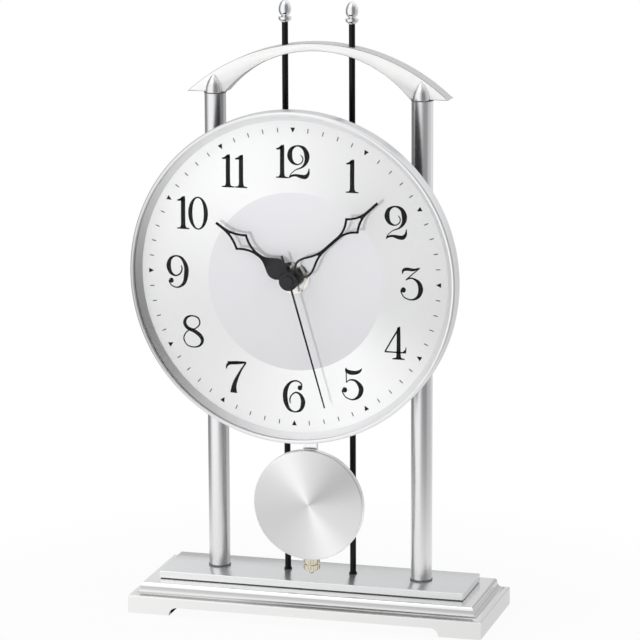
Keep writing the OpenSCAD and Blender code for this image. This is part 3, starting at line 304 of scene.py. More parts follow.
def carve(body_piece, cutters):
    """Cuts the cutters out of a piece for good, and deletes them."""
    for cutter in cutters:
        cut = body_piece.modifiers.new("cut", "BOOLEAN")
        cut.operation = "DIFFERENCE"
        cut.solver = "EXACT"
        cut.object = cutter
    bpy.context.view_layer.update()
    graph = bpy.context.evaluated_depsgraph_get()
    mesh = bpy.data.meshes.new_from_object(body_piece.evaluated_get(graph))
    body_piece.modifiers.clear()
    body_piece.data = mesh
    mesh.polygons.foreach_set("use_smooth", [len(p.vertices) <= 6 for p in mesh.polygons])
    mesh.set_sharp_from_angle(angle=float(np.radians(32)))
    for cutter in cutters:
        bpy.data.objects.remove(cutter)


middle = 15.5  # Y of the base's middle plane
base_w, base_d = 171.4, 60.0
wall_t, foot_x, foot_y = 2.5, 17.6, 12.0
t = np.radians(np.linspace(0, 90, 22))
hollow = np.stack([0.4 + 4.5 * np.sin(t), 8.9 + 3.4 * (1 - np.cos(t))], axis=1)
bead = np.stack([4.9 + 1.5 * (1 - np.cos(t[1:])), 12.3 + 2.1 * np.sin(t[1:])], axis=1)
edge = np.array([[0.25, 0.3], [0.0, 0.55], [0.0, 0.8], [0.0, 8.2], [0.0, 8.45], [0.1, 8.68],
                 [0.3, 8.8]])
moulding = np.concatenate([edge, hollow, bead])  # (inset from the outline, z)
corner_x = np.array([-1, 1, 1, -1])
corner_y = np.array([-1, -1, 1, 1])
rows = np.stack([
    corner_x * (base_w / 2 - moulding[:, :1]),
    middle + corner_y * (base_d / 2 - moulding[:, :1]),
    np.repeat(moulding[:, 1:], 4, axis=1)], axis=-1)
base = skin("moulded_base", rows, "stand", ("base_plinth",))

# The space inside: cross-shaped up to z 6.8, and plain from there to 11.9, under the roof. One
# quarter of the cross leaves the rib behind the round corner, and then the foot's inner block.
hx, hy = base_w / 2 - wall_t, base_d / 2 - wall_t
fx, rib_x, rib_y0, rib_y1 = hx - foot_x, hx - foot_x - 4.1, hy - 1.5, hy - 3.5
quarter = np.array([(fx, hy), (fx, rib_y0), (rib_x, rib_y0), (rib_x, rib_y1), (fx, rib_y1),
                    (fx, hy - foot_y), (hx, hy - foot_y)])
cross = np.concatenate([quarter, quarter[::-1] * (1, -1), quarter * (-1, -1), quarter[::-1] * (-1, 1)])
lower = prism("cut_lower", cross + (0, middle), -1, 6.8)
ux, uy = base_w / 2 - 8.9, base_d / 2 - 8.9
upper = prism("cut_upper", np.stack([corner_x * ux, corner_y * uy + middle], axis=1), 6.3, 11.9)

# The gaps between the feet, and the wells that the pads sit in.
gap_x, gap_z, gap_r = 61.5, 0.3, 4.0  # middle of the corner's round, and its radius


def front_prism(name, outline, y0, y1):
    """An outline in X and Z carried from y0 to y1, measured from the base's middle plane."""
    outline = np.asarray(outline, float)
    rows = [np.column_stack([outline[:, 0], np.full(len(outline), middle + y), outline[:, 1]])
            for y in (y0, y1)]
    return skin(name, rows)


half_gap = [(gap_x, gap_z + gap_r), (gap_x + gap_r, gap_z), (gap_x + gap_r, -2.0)]
whole_gap = [(-x, z) for x, z in half_gap[::-1]] + half_gap
cutters = [lower, upper, front_prism("cut_gap", whole_gap, -31, 31)]
round_end = np.concatenate([[(0, 0)], arc((0, 0), gap_r, 0, 90, 12)])
for sx in (-1, 1):
    for sy in (-1, 1):
        tag = f"{sx + 1}{sy + 1}"
        round_corner = round_end * (sx, 1) + (sx * gap_x, gap_z)
        cutters.append(front_prism("cut_round_" + tag, round_corner, sy * 26.7, sy * 31.0))
        well = arc((sx * 75.2, middle + sy * 21.5), 4.5, 0, 352.5, 48)
        cutters.append(prism("cut_well_" + tag, well, -1, 1.3))
carve(base, cutters)


def grained(name, colour, roughness, metallic, stretch, lines=0.03, bump=0.04, patch=0.02, **sockets):
    """Metal or paint with fine stretched grain: noise on object coordinates, times stretch, moves
    the colour by lines and the surface by bump; a slow noise moves it by patch."""
    material = bpy.data.materials.new(name)
    tree = cleared(material)
    place = node(tree, "ShaderNodeTexCoord")
    grain_space = node(tree, "ShaderNodeMapping")
    grain_space.inputs["Scale"].default_value = stretch
    link(tree, place.outputs["Object"], grain_space.inputs[0])
    fine = node(tree, "ShaderNodeTexNoise", in_Scale=1.0, in_Detail=4.0, in_Roughness=0.6)
    link(tree, grain_space.outputs[0], fine.inputs["Vector"])
    slow = node(tree, "ShaderNodeTexNoise", in_Scale=28.0, in_Detail=2.0)
    link(tree, place.outputs["Object"], slow.inputs["Vector"])
    fine_wave = minus(tree, fine.outputs[0], 0.5)
    slow_wave = minus(tree, slow.outputs[0], 0.5)
    tone = plus(tree, times(tree, fine_wave, 2 * lines), times(tree, slow_wave, 2 * patch))
    tone = plus(tree, tone, 1.0)
    tint = node(tree, "ShaderNodeVectorMath", operation="SCALE", in_0=colour)
    link(tree, tone, tint.inputs["Scale"])
    shader = node(tree, "ShaderNodeBsdfPrincipled", in_Metallic=metallic)
    for socket, value in sockets.items():
        shader.inputs[socket.replace("_", " ")].default_value = value
    link(tree, tint.outputs[0], shader.inputs["Base Color"])
    rough = plus(tree, times(tree, fine_wave, roughness * 0.6), roughness)
    link(tree, rough, shader.inputs["Roughness"])
    relief = node(tree, "ShaderNodeBump", in_Strength=bump, in_Distance=0.0002)
    link(tree, fine.outputs[0], relief.inputs["Height"])
    link(tree, relief.outputs[0], shader.inputs["Normal"])
    link(tree, shader.outputs[0], node(tree, "ShaderNodeOutputMaterial").inputs[0])
    return material


def dress(target, material):
    """Gives a new piece or a CAD node its one material."""
    if "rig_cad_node" in target:
        for used in target.material_slots:
            used.material = material
    else:
        target.data.materials.clear()
        target.data.materials.append(material)


def shaded(material, tone_of):
    """Paints light and shade into a grained material: multiplies its colour by
    tone_of(tree, x, y, z, nx, ny, nz), from the place in mm and the surface's direction."""
    tree = material.node_tree
    shader = next(n for n in tree.nodes if n.type == "BSDF_PRINCIPLED")
    painted = shader.inputs["Base Color"].links[0].from_socket
    place = node(tree, "ShaderNodeTexCoord")
    millimetres = node(tree, "ShaderNodeVectorMath", operation="SCALE", in_Scale=1000.0)
    link(tree, place.outputs["Object"], millimetres.inputs[0])
    parts = node(tree, "ShaderNodeSeparateXYZ")
    link(tree, millimetres.outputs[0], parts.inputs[0])
    scaled = node(tree, "ShaderNodeVectorMath", operation="SCALE")
    link(tree, painted, scaled.inputs[0])
    facing = node(tree, "ShaderNodeSeparateXYZ")
    link(tree, place.outputs["Normal"], facing.inputs[0])
    link(tree, tone_of(tree, *parts.outputs, *facing.outputs), scaled.inputs["Scale"])
    link(tree, scaled.outputs[0], shader.inputs["Base Color"])
    return material


def painted_base_shade(tree, x, y, z, nx, ny, nz):
    """Painted shade and painted reflection: the hollow curve is painted darker, with thin dark
    streaks low in it; the ends are painted darker than the front, and the whole base paler
    towards the left and darker towards the right; the feet's inner sides and the gaps'
    undersides are painted nearly black, as shade."""
    ends = spread(tree, math(tree, "ABSOLUTE", nx), 0.3, 0.75, 0.0, 1.0)
    ahead = minus(tree, 1.0, ends)
    cove = times(tree, spread(tree, z, 9.2, 10.3, 0.0, 0.40), spread(tree, z, 12.1, 12.8, 1.0, 0.0))
    cove = times(tree, times(tree, cove, math(tree, "GREATER_THAN", z, 8.82)), ahead)
    ripple = node(tree, "ShaderNodeTexNoise", in_Scale=1.0, in_Detail=2.0)
    stretch = node(tree, "ShaderNodeCombineXYZ")
    link(tree, times(tree, x, 0.02), stretch.inputs[0])
    link(tree, times(tree, z, 3.2), stretch.inputs[2])
    link(tree, times(tree, y, 0.02), stretch.inputs[1])
    link(tree, stretch.outputs[0], ripple.inputs["Vector"])
    # Painted reflection: thin dark streaks low in the hollow curve.
    streak = spread(tree, ripple.outputs[0], 0.57, 0.66, 0.0, 0.34)
    low = times(tree, spread(tree, z, 8.95, 9.15, 0.0, 1.0), spread(tree, z, 9.7, 10.2, 1.0, 0.0))
    low = times(tree, times(tree, low, ahead), spread(tree, x, -45, 5, 0.0, 1.0))
    painted_shade = plus(tree, cove, times(tree, streak, low))
    painted_shade = plus(tree, painted_shade, times(tree, ends, 0.28))
    # Painted shade: the feet's inner sides and the gaps' undersides are painted nearly black.
    between = math(tree, "LESS_THAN", math(tree, "ABSOLUTE", x), 66.6)
    between = times(tree, between, math(tree, "LESS_THAN", z, 4.36))
    inside = math(tree, "LESS_THAN", math(tree, "ABSOLUTE", minus(tree, y, middle)), 26.5)
    turned_away = math(tree, "LESS_THAN", math(tree, "ABSOLUTE", ny), 0.5)
    painted_shade = plus(tree, painted_shade, times(tree, between, math(tree, "MAXIMUM", inside, turned_away)))
    tone = math(tree, "MAXIMUM", minus(tree, 1.0, painted_shade), 0.03)
    # Painted light: paler towards the left, darker towards the right.
    tone = times(tree, tone, spread(tree, x, 0.0, 95.0, 1.0, 0.945))
    return times(tree, tone, minus(tree, 1.0, times(tree, x, 0.0005)))


# The chrome's colour is multiplied by the painted shade and painted reflection above.
cast_chrome = shaded(grained("cast_chrome", (0.85, 0.845, 0.84), roughness=0.19, metallic=1.0,
                             stretch=(60, 900, 900), lines=0.012, bump=0.015), painted_base_shade)
dress(base, cast_chrome)
felt = grained("black_felt", (0.035, 0.035, 0.038), roughness=0.95, metallic=0.0,
               stretch=(2500, 2500, 2500), lines=0.3, bump=0.6, patch=0.1, Sheen_Weight=0.3)
dress(nodes["foot_pads"], felt)
steel = grained("plain_steel", (0.56, 0.56, 0.57), roughness=0.38, metallic=1.0,
                stretch=(300, 300, 1500), lines=0.06, bump=0.06)
for name in ("base_weight", "tie_rods", "tie_nuts", "rod_nuts", "crown_screws", "bridge_spacers",
             "frame_screws", "cover_screws", "middle_plate", "stator", "battery_contacts", "rotor",
             "pivot_pin", "lever_magnet"):
    dress(nodes[name], steel)

# ---- Top plate ----------------------------------------------------------------------
# A flat satin plate with broken edges, bedded on a thin black gasket.
corner = [arc((sx * 73.8, sy * 16.9), 0.4, a, a + 90, 6)
          for sx, sy, a in ((1, 1, 0), (-1, 1, 90), (-1, -1, 180), (1, -1, 270))]
outline = np.concatenate(corner)
rows = []
for inset, z in ((0.2, 14.8), (0.0, 15.0), (0.0, 15.25), (0.0, 17.7), (0.0, 17.95), (0.07, 18.13),
                 (0.25, 18.2)):
    ring = outline - np.sign(outline) * inset
    rows.append(np.column_stack([ring[:, 0], ring[:, 1] + middle, np.full(len(ring), z)]))
plate = skin("flat_plate", rows, "stand", ("top_plate",), sharp=50)


def painted_light_from_left(tree, x, y, z, nx, ny, nz):
    """Painted light: the satin finish is painted a little paler towards the left."""
    return minus(tree, 1.0, times(tree, x, 0.0009))


# The plate's colour carries the painted light above.
satin_plate = shaded(grained("satin_plate", (0.80, 0.805, 0.805), roughness=0.22, metallic=0.75,
                             stretch=(60, 6000, 6000), lines=0.008, bump=0.006), painted_light_from_left)
dress(plate, satin_plate)
rubber = grained("black_rubber", (0.09, 0.09, 0.09), roughness=0.7, metallic=0.0,
                 stretch=(1500, 1500, 1500), lines=0.15, bump=0.1)
dress(nodes["plate_gasket"], rubber)


# ---- Posts --------------------------------------------------------------------------
# Two drawn aluminium tubes, brushed along their length, each between two dark rings.
def turned(name, profile, body, replaced, centre=(0, 0), steps=96, sharp=32.0, ring=False):
    """A profile of (radius, z) turned round the vertical line through centre."""
    profile = np.asarray(profile, float)
    a = np.linspace(0, 2 * np.pi, steps, endpoint=False)
    r, z = profile[:, :1], profile[:, 1:]
    rows = np.stack([centre[0] + r * np.cos(a), centre[1] + middle + r * np.sin(a),
                     np.broadcast_to(z, (len(profile), steps))], axis=-1)
    return skin(name, rows, body, replaced, ring, sharp)


post_x, post_y = 49.6, 1.0
tube = [(4.0, 18.8), (4.9, 18.8), (5.0, 18.9), (5.0, 245.7), (4.9, 245.8), (4.0, 245.8)]


def painted_tube_reflection(tree, x, y, z, nx, ny, nz):
    """Painted reflection: the left tube is painted darker on its right side; the right tube is painted
    paler there above the head.
    """
    painted_shade = times(tree, spread(tree, x, -47.6, -46.4, 0.0, 0.30), math(tree, "LESS_THAN", x, 0.0))
    pale = times(tree, spread(tree, x, 50.6, 51.6, 0.0, 0.22), spread(tree, z, 180.0, 205.0, 0.0, 1.0))
    return plus(tree, minus(tree, 1.0, painted_shade), pale)


# The tubes' colour carries the painted reflection above.
satin_tube = shaded(grained("satin_tube", (0.79, 0.79, 0.795), roughness=0.28, metallic=1.0,
                            stretch=(5200, 5200, 26), lines=0.012, bump=0.012, patch=0.006), painted_tube_reflection)
for name, x in (("left_post", -post_x), ("right_post", post_x)):
    post = turned(name + "_tube", tube, "stand", (name,), (x, post_y), 128, ring=True)
    dress(post, satin_tube)
dark_ring = grained("dark_ring", (0.12, 0.12, 0.12), roughness=0.5, metallic=0.0,
                    stretch=(900, 900, 900), lines=0.1, bump=0.05)
dress(nodes["post_rings"], dark_ring)

# ---- Thin rods ----------------------------------------------------------------------
# Two slim rods, lacquered gloss black, each with a turned chrome finial: a flared collar
# under an egg-shaped ball.
lacquer = grained("black_lacquer", (0.005, 0.005, 0.0055), roughness=0.2, metallic=0.0,
                  stretch=(400, 400, 40), lines=0.1, bump=0.01, patch=0.05, Specular_IOR_Level=0.17)
rod_x, rod_y = 16.0, 2.2
rod = [(0.9, 6.3), (1.35, 6.5), (1.45, 6.7), (1.45, 7.2), (1.45, 280.9), (1.3, 281.0)]
for name, x in (("left_rod", -rod_x), ("right_rod", rod_x)):
    dress(turned(name + "_bar", rod, "stand", (name,), (x, rod_y), 40), lacquer)
dress(nodes["rod_collars"], lacquer)
flare = [(1.45, 279.8), (1.75, 279.8), (1.8, 280.1)]
t = np.radians(np.linspace(0, 90, 9)[1:])
flare += list(zip(1.8 + 1.2 * np.sin(t), 280.1 + 1.5 * (1 - np.cos(t))))
flare += [(3.03, 281.8), (2.95, 282.05), (2.7, 282.2), (2.0, 282.3)]
t = np.radians(np.linspace(-62, 86, 26))
flare += list(zip(2.9 * np.cos(t), 286.1 + 3.9 * np.sin(t) - 0.52 * np.cos(t) ** 2))
bright = grained("bright_chrome", (0.80, 0.81, 0.82), roughness=0.1, metallic=1.0,
                 stretch=(300, 300, 300), lines=0.02, bump=0.01)
for side, x in (("left", -rod_x), ("right", rod_x)):
    finial = turned(side + "_finial", flare, "stand", ("rod_finials",), (x, rod_y), 48, sharp=40)
    dress(finial, bright)

# ---- Crown --------------------------------------------------------------------------
# An arch cut from thick aluminium, its faces finely brushed from side to side and its
# edges broken. It sits on the posts' rings; half a bullet is screwed to its face over each.
foot_z, arch_half, arch_rise, gap_half, gap_rise, foot_half = 246.4, 62.3, 24.1, 44.1, 20.6, 53.0
outer_r = (arch_half ** 2 + arch_rise ** 2) / (2 * arch_rise)
inner_r = (gap_half ** 2 + gap_rise ** 2) / (2 * gap_rise)
outer_turn = np.degrees(np.arcsin(arch_half / outer_r))
inner_turn = np.degrees(np.arcsin(gap_half / inner_r))
top = arc((0, foot_z + arch_rise - outer_r), outer_r, 90 + outer_turn, 90 - outer_turn, 121)
under = arc((0, foot_z + gap_rise - inner_r), inner_r, 90 - inner_turn, 90 + inner_turn, 91)
crown_line = np.concatenate([top, [(foot_half, foot_z)], under, [(-foot_half, foot_z)]])
along = np.roll(crown_line, -1, 0) - np.roll(crown_line, 1, 0)
along /= np.linalg.norm(along, axis=1, keepdims=True)
normal = np.stack([-along[:, 1], along[:, 0]], axis=1)
rows = []
for inset, y in ((0.3, -1.3), (0.09, -1.21), (0.0, -1.0), (0.0, -0.75), (0.0, 7.65), (0.0, 7.9),
                 (0.09, 8.11), (0.3, 8.2)):
    ring = crown_line - normal * inset
    rows.append(np.column_stack([ring[:, 0], np.full(len(ring), middle + y), ring[:, 1]]))
crown = skin("crown", rows, "stand", ("crown_arch",), sharp=40)
bore = []
for kind, hole_r, roof, x, y in (("tie", 1.55, 250.65, post_x, post_y),
                                 ("rod", 1.5, 280, rod_x, rod_y)):
    for sx in (-1, 1):
        hole = [(hole_r, 240), (hole_r, roof)]
        bore.append(turned(f"cut_{kind}_{sx + 1}", hole, None, (), (sx * x, y), 48))
screw_hole = arc((0, 252.4), 0.75, 0, 345, 24)
for sx in (-1, 1):
    bore.append(front_prism(f"cut_screw_{sx + 1}", screw_hole + (sx * post_x, 0), -5.5, 14.5))
carve(crown, bore)


def painted_crown_shade(tree, x, y, z, nx, ny, nz):
    """Painted shade: the flat faces keep the full tone; the sides are painted darker, and the
    broken edges darkest, above all the lower ones, which face down and away from the light."""
    ahead = math(tree, "ABSOLUTE", ny)
    face_share = spread(tree, ahead, 0.93, 0.99, 0.0, 1.0)
    side_share = spread(tree, ahead, 0.06, 0.2, 1.0, 0.0)
    edge_share = minus(tree, minus(tree, 1.0, face_share), side_share)
    painted_edge_shade = spread(tree, nz, -0.1, 0.2, 0.25, 0.38)
    tone = plus(tree, face_share, times(tree, edge_share, painted_edge_shade))
    return plus(tree, tone, times(tree, side_share, 0.80))


# The crown's colour carries the painted shade above.
crown_metal = shaded(grained("crown_metal", (0.985, 0.98, 0.975), roughness=0.46, metallic=0.2,
                             stretch=(90, 1500, 1500), lines=0.006, bump=0.008, patch=0.006),
                     painted_crown_shade)
dress(crown, crown_metal)
cap_r, cap_h = 4.05, 8.5
ogive = (cap_h ** 2 + cap_r ** 2) / (2 * cap_r)
h = np.concatenate([[0.0, 0.12], np.linspace(0.3, 8.3, 26), [8.42, 8.48]])
r = np.sqrt(ogive ** 2 - h ** 2) - ogive + cap_r
r[0] -= 0.1
half = np.radians(np.linspace(180, 360, 41))
cap_metal = grained("cap_metal", (0.78, 0.78, 0.785), roughness=0.22, metallic=1.0,
                    stretch=(500, 500, 2500), lines=0.02, bump=0.02)
for side, x in (("left", -post_x), ("right", post_x)):
    rows = np.stack([x + np.outer(r, np.cos(half)), middle - 1.31 + np.outer(r, np.sin(half)),
                     np.repeat(foot_z + h[:, None], len(half), axis=1)], axis=-1)
    cap = skin(side + "_cap", rows, "stand", ("crown_caps",), sharp=40)
    dress(cap, cap_metal)

# ---- Carrier frame and pan ----------------------------------------------------------
# A punched steel frame, painted grey, is screwed to the posts. Four spacers hold the
# black moulded pan that closes the head from behind.
grey_paint = grained("grey_paint", (0.42, 0.43, 0.44), roughness=0.42, metallic=0.0,
                     stretch=(900, 900, 900), lines=0.05, bump=0.1, patch=0.03)
dress(nodes["bridge_frame"], grey_paint)
black_mould = grained("black_mould", (0.028, 0.028, 0.03), roughness=0.5, metallic=0.0,
                      stretch=(1600, 1600, 1600), lines=0.12, bump=0.18, patch=0.05)
for name in ("case_pan", "movement_case", "movement_cover"):
    dress(nodes[name], black_mould)

# ---- Movement -----------------------------------------------------------------------
# Moulded gears of pale acetal, a lacquered circuit board, copper coils, a dark ferrite
# bar, and an unmarked AA cell.
acetal = grained("pale_acetal", (0.80, 0.79, 0.74), roughness=0.4, metallic=0.0,
                 stretch=(1200, 1200, 1200), lines=0.03, bump=0.05, patch=0.02,
                 Subsurface_Weight=0.1)
for name in ("step_wheel", "seconds_wheel", "third_wheel", "centre_wheel", "minute_wheel", "hour_wheel",
             "set_button", "receive_button", "reset_button", "pendulum_lever"):
    dress(nodes[name], acetal)
board = grained("green_board", (0.03, 0.20, 0.09), roughness=0.35, metallic=0.0,
                stretch=(700, 700, 700), lines=0.2, bump=0.05, patch=0.1, Coat_Weight=0.4)
dress(nodes["circuit_board"], board)
winding = grained("copper_winding", (0.62, 0.27, 0.12), roughness=0.35, metallic=1.0,
                  stretch=(4000, 4000, 4000), lines=0.2, bump=0.3)
for name in ("step_coil", "drive_coil"):
    dress(nodes[name], winding)
ferrite = grained("dark_ferrite", (0.06, 0.055, 0.055), roughness=0.55, metallic=0.2,
                  stretch=(800, 800, 800), lines=0.2, bump=0.2)
dress(nodes["radio_antenna"], ferrite)
sleeve = grained("cell_sleeve", (0.16, 0.17, 0.19), roughness=0.28, metallic=0.5,
                 stretch=(200, 900, 900), lines=0.05, bump=0.02, patch=0.03, Coat_Weight=0.4)
dress(nodes["battery"], sleeve)
nickel = grained("bright_nickel", (0.78, 0.76, 0.72), roughness=0.2, metallic=1.0,
                 stretch=(900, 900, 900), lines=0.05, bump=0.03)
for name in ("centre_nut", "dial_washer"):
    dress(nodes[name], nickel)


# ---- Dial ---------------------------------------------------------------------------
# A thin aluminium disc, silvered and spun: fine circles and soft cone-shaped painted highlights.
# A grey round field is printed in its middle; painted shade makes it a little darker towards its foot.
dial_z = 168.8


def faced(name, profile, body, replaced, steps=192, sharp=32.0, ring=False, up=dial_z):
    """A profile of (radius, f) turned round the line that points to the front at height up."""
    profile = np.asarray(profile, float)
    a = np.linspace(0, 2 * np.pi, steps, endpoint=False)
    r, f = profile[:, :1], profile[:, 1:]
    rows = np.stack([r * np.cos(a), np.broadcast_to(middle - f, (len(profile), steps)),
                     up + r * np.sin(a)], axis=-1)
    return skin(name, rows, body, replaced, ring, sharp)


def spun(name, centre, colour, roughness, metallic, streaks, rings, bump, field=None, rim=0.0):
    """Spun metal about a forward axis through centre (x, z in mm), with painted highlights and painted
    shade. The tone is 1 plus, for each streak (clock degrees, power, amount, both sides), amount
    times the cosine to that clock angle, to the power: a painted highlight where amount is above 0,
    painted shade where it is below. Fine rings follow the radius. field is a round print (radius,
    colour, x, z), painted darker towards its foot as shade; rim is how much paler the turned edge
    is painted, as a painted highlight."""
    material = bpy.data.materials.new(name)
    tree = cleared(material)
    place = node(tree, "ShaderNodeTexCoord")
    centred = node(tree, "ShaderNodeMapping")
    centred.inputs["Location"].default_value = (-centre[0] * 0.001, 0, -centre[1] * 0.001)
    link(tree, place.outputs["Object"], centred.inputs[0])
    parts = node(tree, "ShaderNodeSeparateXYZ")
    link(tree, centred.outputs[0], parts.inputs[0])
    x, z = parts.outputs[0], parts.outputs[2]
    radius = length(tree, x, z)
    painted_highlight = 1.0
    for degrees, power, amount, both in streaks:
        a = np.radians(degrees)
        aligned = times(tree, x, float(np.sin(a)))
        aligned = plus(tree, aligned, times(tree, z, float(np.cos(a))))
        aligned = math(tree, "DIVIDE", aligned, math(tree, "MAXIMUM", radius, 0.0001))
        aligned = math(tree, "ABSOLUTE", aligned) if both else math(tree, "MAXIMUM", aligned, 0.0)
        painted_highlight = plus(tree, times(tree, math(tree, "POWER", aligned, power), amount), painted_highlight)
    line = node(tree, "ShaderNodeCombineXYZ")
    link(tree, times(tree, radius, 5200.0), line.inputs[0])
    link(tree, times(tree, math(tree, "ABSOLUTE", math(tree, "ARCTAN2", x, z)), 1.5), line.inputs[1])
    fine = node(tree, "ShaderNodeTexNoise", in_Scale=1.0, in_Detail=3.0)
    link(tree, line.outputs[0], fine.inputs["Vector"])
    tone = plus(tree, times(tree, minus(tree, fine.outputs[0], 0.5), 2 * rings), painted_highlight)
    tint = node(tree, "ShaderNodeVectorMath", operation="SCALE", in_0=colour)
    link(tree, tone, tint.inputs["Scale"])
    colour = tint.outputs[0]
    if field:
        size, shade, fx, fz = field
        dx = minus(tree, x, fx * 0.001)
        dz = minus(tree, z, fz * 0.001)
        inside = math(tree, "LESS_THAN", length(tree, dx, dz), size * 0.001)
        # Painted shade: the printed field is made darker towards its foot.
        soft = plus(tree, times(tree, z, 1.9), minus(tree, plus(tree, tone, 0.945), painted_highlight))
        print_tint = node(tree, "ShaderNodeVectorMath", operation="SCALE", in_0=shade)
        link(tree, soft, print_tint.inputs["Scale"])
        pick = node(tree, "ShaderNodeMix", data_type="VECTOR")
        link(tree, inside, pick.inputs[0])
        link(tree, colour, pick.inputs[4])
        link(tree, print_tint.outputs[0], pick.inputs[5])
        colour = pick.outputs[1]
    if rim:
        facing = node(tree, "ShaderNodeSeparateXYZ")
        link(tree, place.outputs["Normal"], facing.inputs[0])
        paler = node(tree, "ShaderNodeVectorMath", operation="SCALE")
        link(tree, colour, paler.inputs[0])
        ahead = math(tree, "ABSOLUTE", facing.outputs[1])
        link(tree, spread(tree, ahead, 0.75, 0.995, 1.0 + rim, 1.0), paler.inputs["Scale"])
        colour = paler.outputs[0]
    shader = node(tree, "ShaderNodeBsdfPrincipled", in_Metallic=metallic)
    link(tree, colour, shader.inputs["Base Color"])
    link(tree, plus(tree, times(tree, minus(tree, fine.outputs[0], 0.5), 0.15), roughness),
         shader.inputs["Roughness"])
    relief = node(tree, "ShaderNodeBump", in_Strength=bump, in_Distance=0.0001)
    link(tree, fine.outputs[0], relief.inputs["Height"])
    link(tree, relief.outputs[0], shader.inputs["Normal"])
    link(tree, shader.outputs[0], node(tree, "ShaderNodeOutputMaterial").inputs[0])
    return material


dial_line = [(4.1, 40.2), (75.45, 40.2), (75.6, 40.3), (75.6, 40.9), (75.45, 41.0), (40.0, 41.0),
             (4.1, 41.0)]
dial = faced("dial_disc", dial_line, "stand", ("dial_plate",), ring=True)
# Painted highlight towards eleven and five o'clock, and painted shade a little past three.
silvered = spun("silvered_dial", (0, dial_z), (0.775, 0.775, 0.772), 0.5, 0.1,
                ((-30, 2.0, 0.265, True), (108, 12.0, -0.165, False)), rings=0.01, bump=0.015,
                field=(41.2, (0.82, 0.815, 0.835), 0.6, -1.9))
dress(dial, silvered)

# ---- Printing on the dial -----------------------------------------------------------
# Numerals one to twelve with fat and thin strokes and ball ends, an inward triangle at
# each hour and a short line at each minute between them, in black ink.
ink_low, ink_high = 40.97, 41.04


def pen(points, closed=False, fine=7):
    """The two sides of a flat pen stroke, a smooth curve through points (x, z, half width)."""
    p = np.asarray(points, float)
    count = len(p)
    if closed:
        before, after, after2 = np.roll(p, 1, 0), np.roll(p, -1, 0), np.roll(p, -2, 0)
        start = p
    else:
        ext = np.concatenate([[2 * p[0] - p[1]], p, [2 * p[-1] - p[-2]]])
        before, start, after, after2 = ext[:-3], ext[1:-2], ext[2:-1], ext[3:]
    s = np.linspace(0, 1, fine, endpoint=False)[None, :, None]
    b, c, d, e = (v[:, None, :] for v in (before, start, after, after2))
    curve = 0.5 * (2 * c + (d - b) * s + (2 * b - 5 * c + 4 * d - e) * s ** 2
                   + (3 * c - b - 3 * d + e) * s ** 3)
    curve = curve.reshape(-1, 3)
    if not closed:
        curve = np.concatenate([curve, p[-1:]])
    centre, half = curve[:, :2], curve[:, 2:] * 1.02 + 0.06
    step = (np.roll(centre, -1, 0) - np.roll(centre, 1, 0)) if closed else np.gradient(centre, axis=0)
    step /= np.maximum(np.linalg.norm(step, axis=1, keepdims=True), 1e-9)
    across = np.stack([-step[:, 1], step[:, 0]], axis=1)
    return centre + across * half, centre - across * half, closed


ink_points, ink_faces, ink_count = [], [], 0


def ink(left, right, closed, dx, dz):
    """Adds a stroke to the print, as a strip of four-cornered rows moved by dx, dz."""
    global ink_count
    corners = []
    for side, f in ((left, ink_low), (left, ink_high), (right, ink_high), (right, ink_low)):
        corners.append(np.column_stack([side[:, 0] + dx, np.full(len(side), middle - f),
                                        side[:, 1] + dz + dial_z]))
    rows = np.stack(corners, axis=1)
    count = len(rows)
    faces = grid_faces(count, 4, closed)
    if not closed:
        faces += [[3, 2, 1, 0], [(count - 1) * 4 + k for k in range(4)]]
    ink_points.append(rows.reshape(-1, 3))
    ink_faces.extend([[v + ink_count for v in face] for face in faces])
    ink_count += count * 4


def ball(x, z, r):
    """A round dot as a short fat pen stroke."""
    return [(x - r * 0.99, z, 0.05), (x - r * 0.8, z, r * 0.6), (x - r * 0.45, z, r * 0.89), (x, z, r),
            (x + r * 0.45, z, r * 0.89), (x + r * 0.8, z, r * 0.6), (x + r * 0.99, z, 0.05)]


one = [
    [(0.12, 15.0, 0.55), (0.1, 14.2, 0.9), (0.05, 12.0, 0.93), (0, 6.0, 0.95), (0, 2.6, 0.97),
     (0, 1.4, 1.1), (0, 0.75, 1.5), (0, 0.4, 2.3)],
    [(-2.95, 0.25, 0.2), (-1.5, 0.3, 0.28), (1.5, 0.3, 0.28), (2.95, 0.25, 0.2)],
    [(-2.7, 13.3, 0.3), (-1.9, 13.35, 0.35), (-0.9, 13.7, 0.55), (0.3, 14.6, 0.5),
     (0.95, 15.2, 0.1)],
]
two = [
    [(1.0, 10.9, 0.1), (1.75, 10.1, 0.18), (2.1, 8.9, 0.2), (1.4, 7.3, 0.2), (-0.6, 6.45, 0.26),
     (-2.9, 7.5, 0.68), (-4.05, 10.2, 1.1), (-3.3, 13.4, 0.75), (-0.5, 15.0, 0.28),
     (2.6, 13.9, 0.75), (4.0, 10.7, 1.13), (3.55, 7.6, 0.78), (1.7, 5.3, 0.34), (-1.35, 3.95, 0.17),
     (-3.5, 2.1, 0.13), (-4.45, 0.4, 0.13)],
    [(-4.5, 0.1, 0.15), (-3.4, 1.1, 0.42), (-1.3, 1.5, 0.5), (1.3, 1.0, 0.82), (3.3, 0.95, 0.88),
     (4.6, 2.4, 0.55), (5.0, 4.9, 0.08)],
]
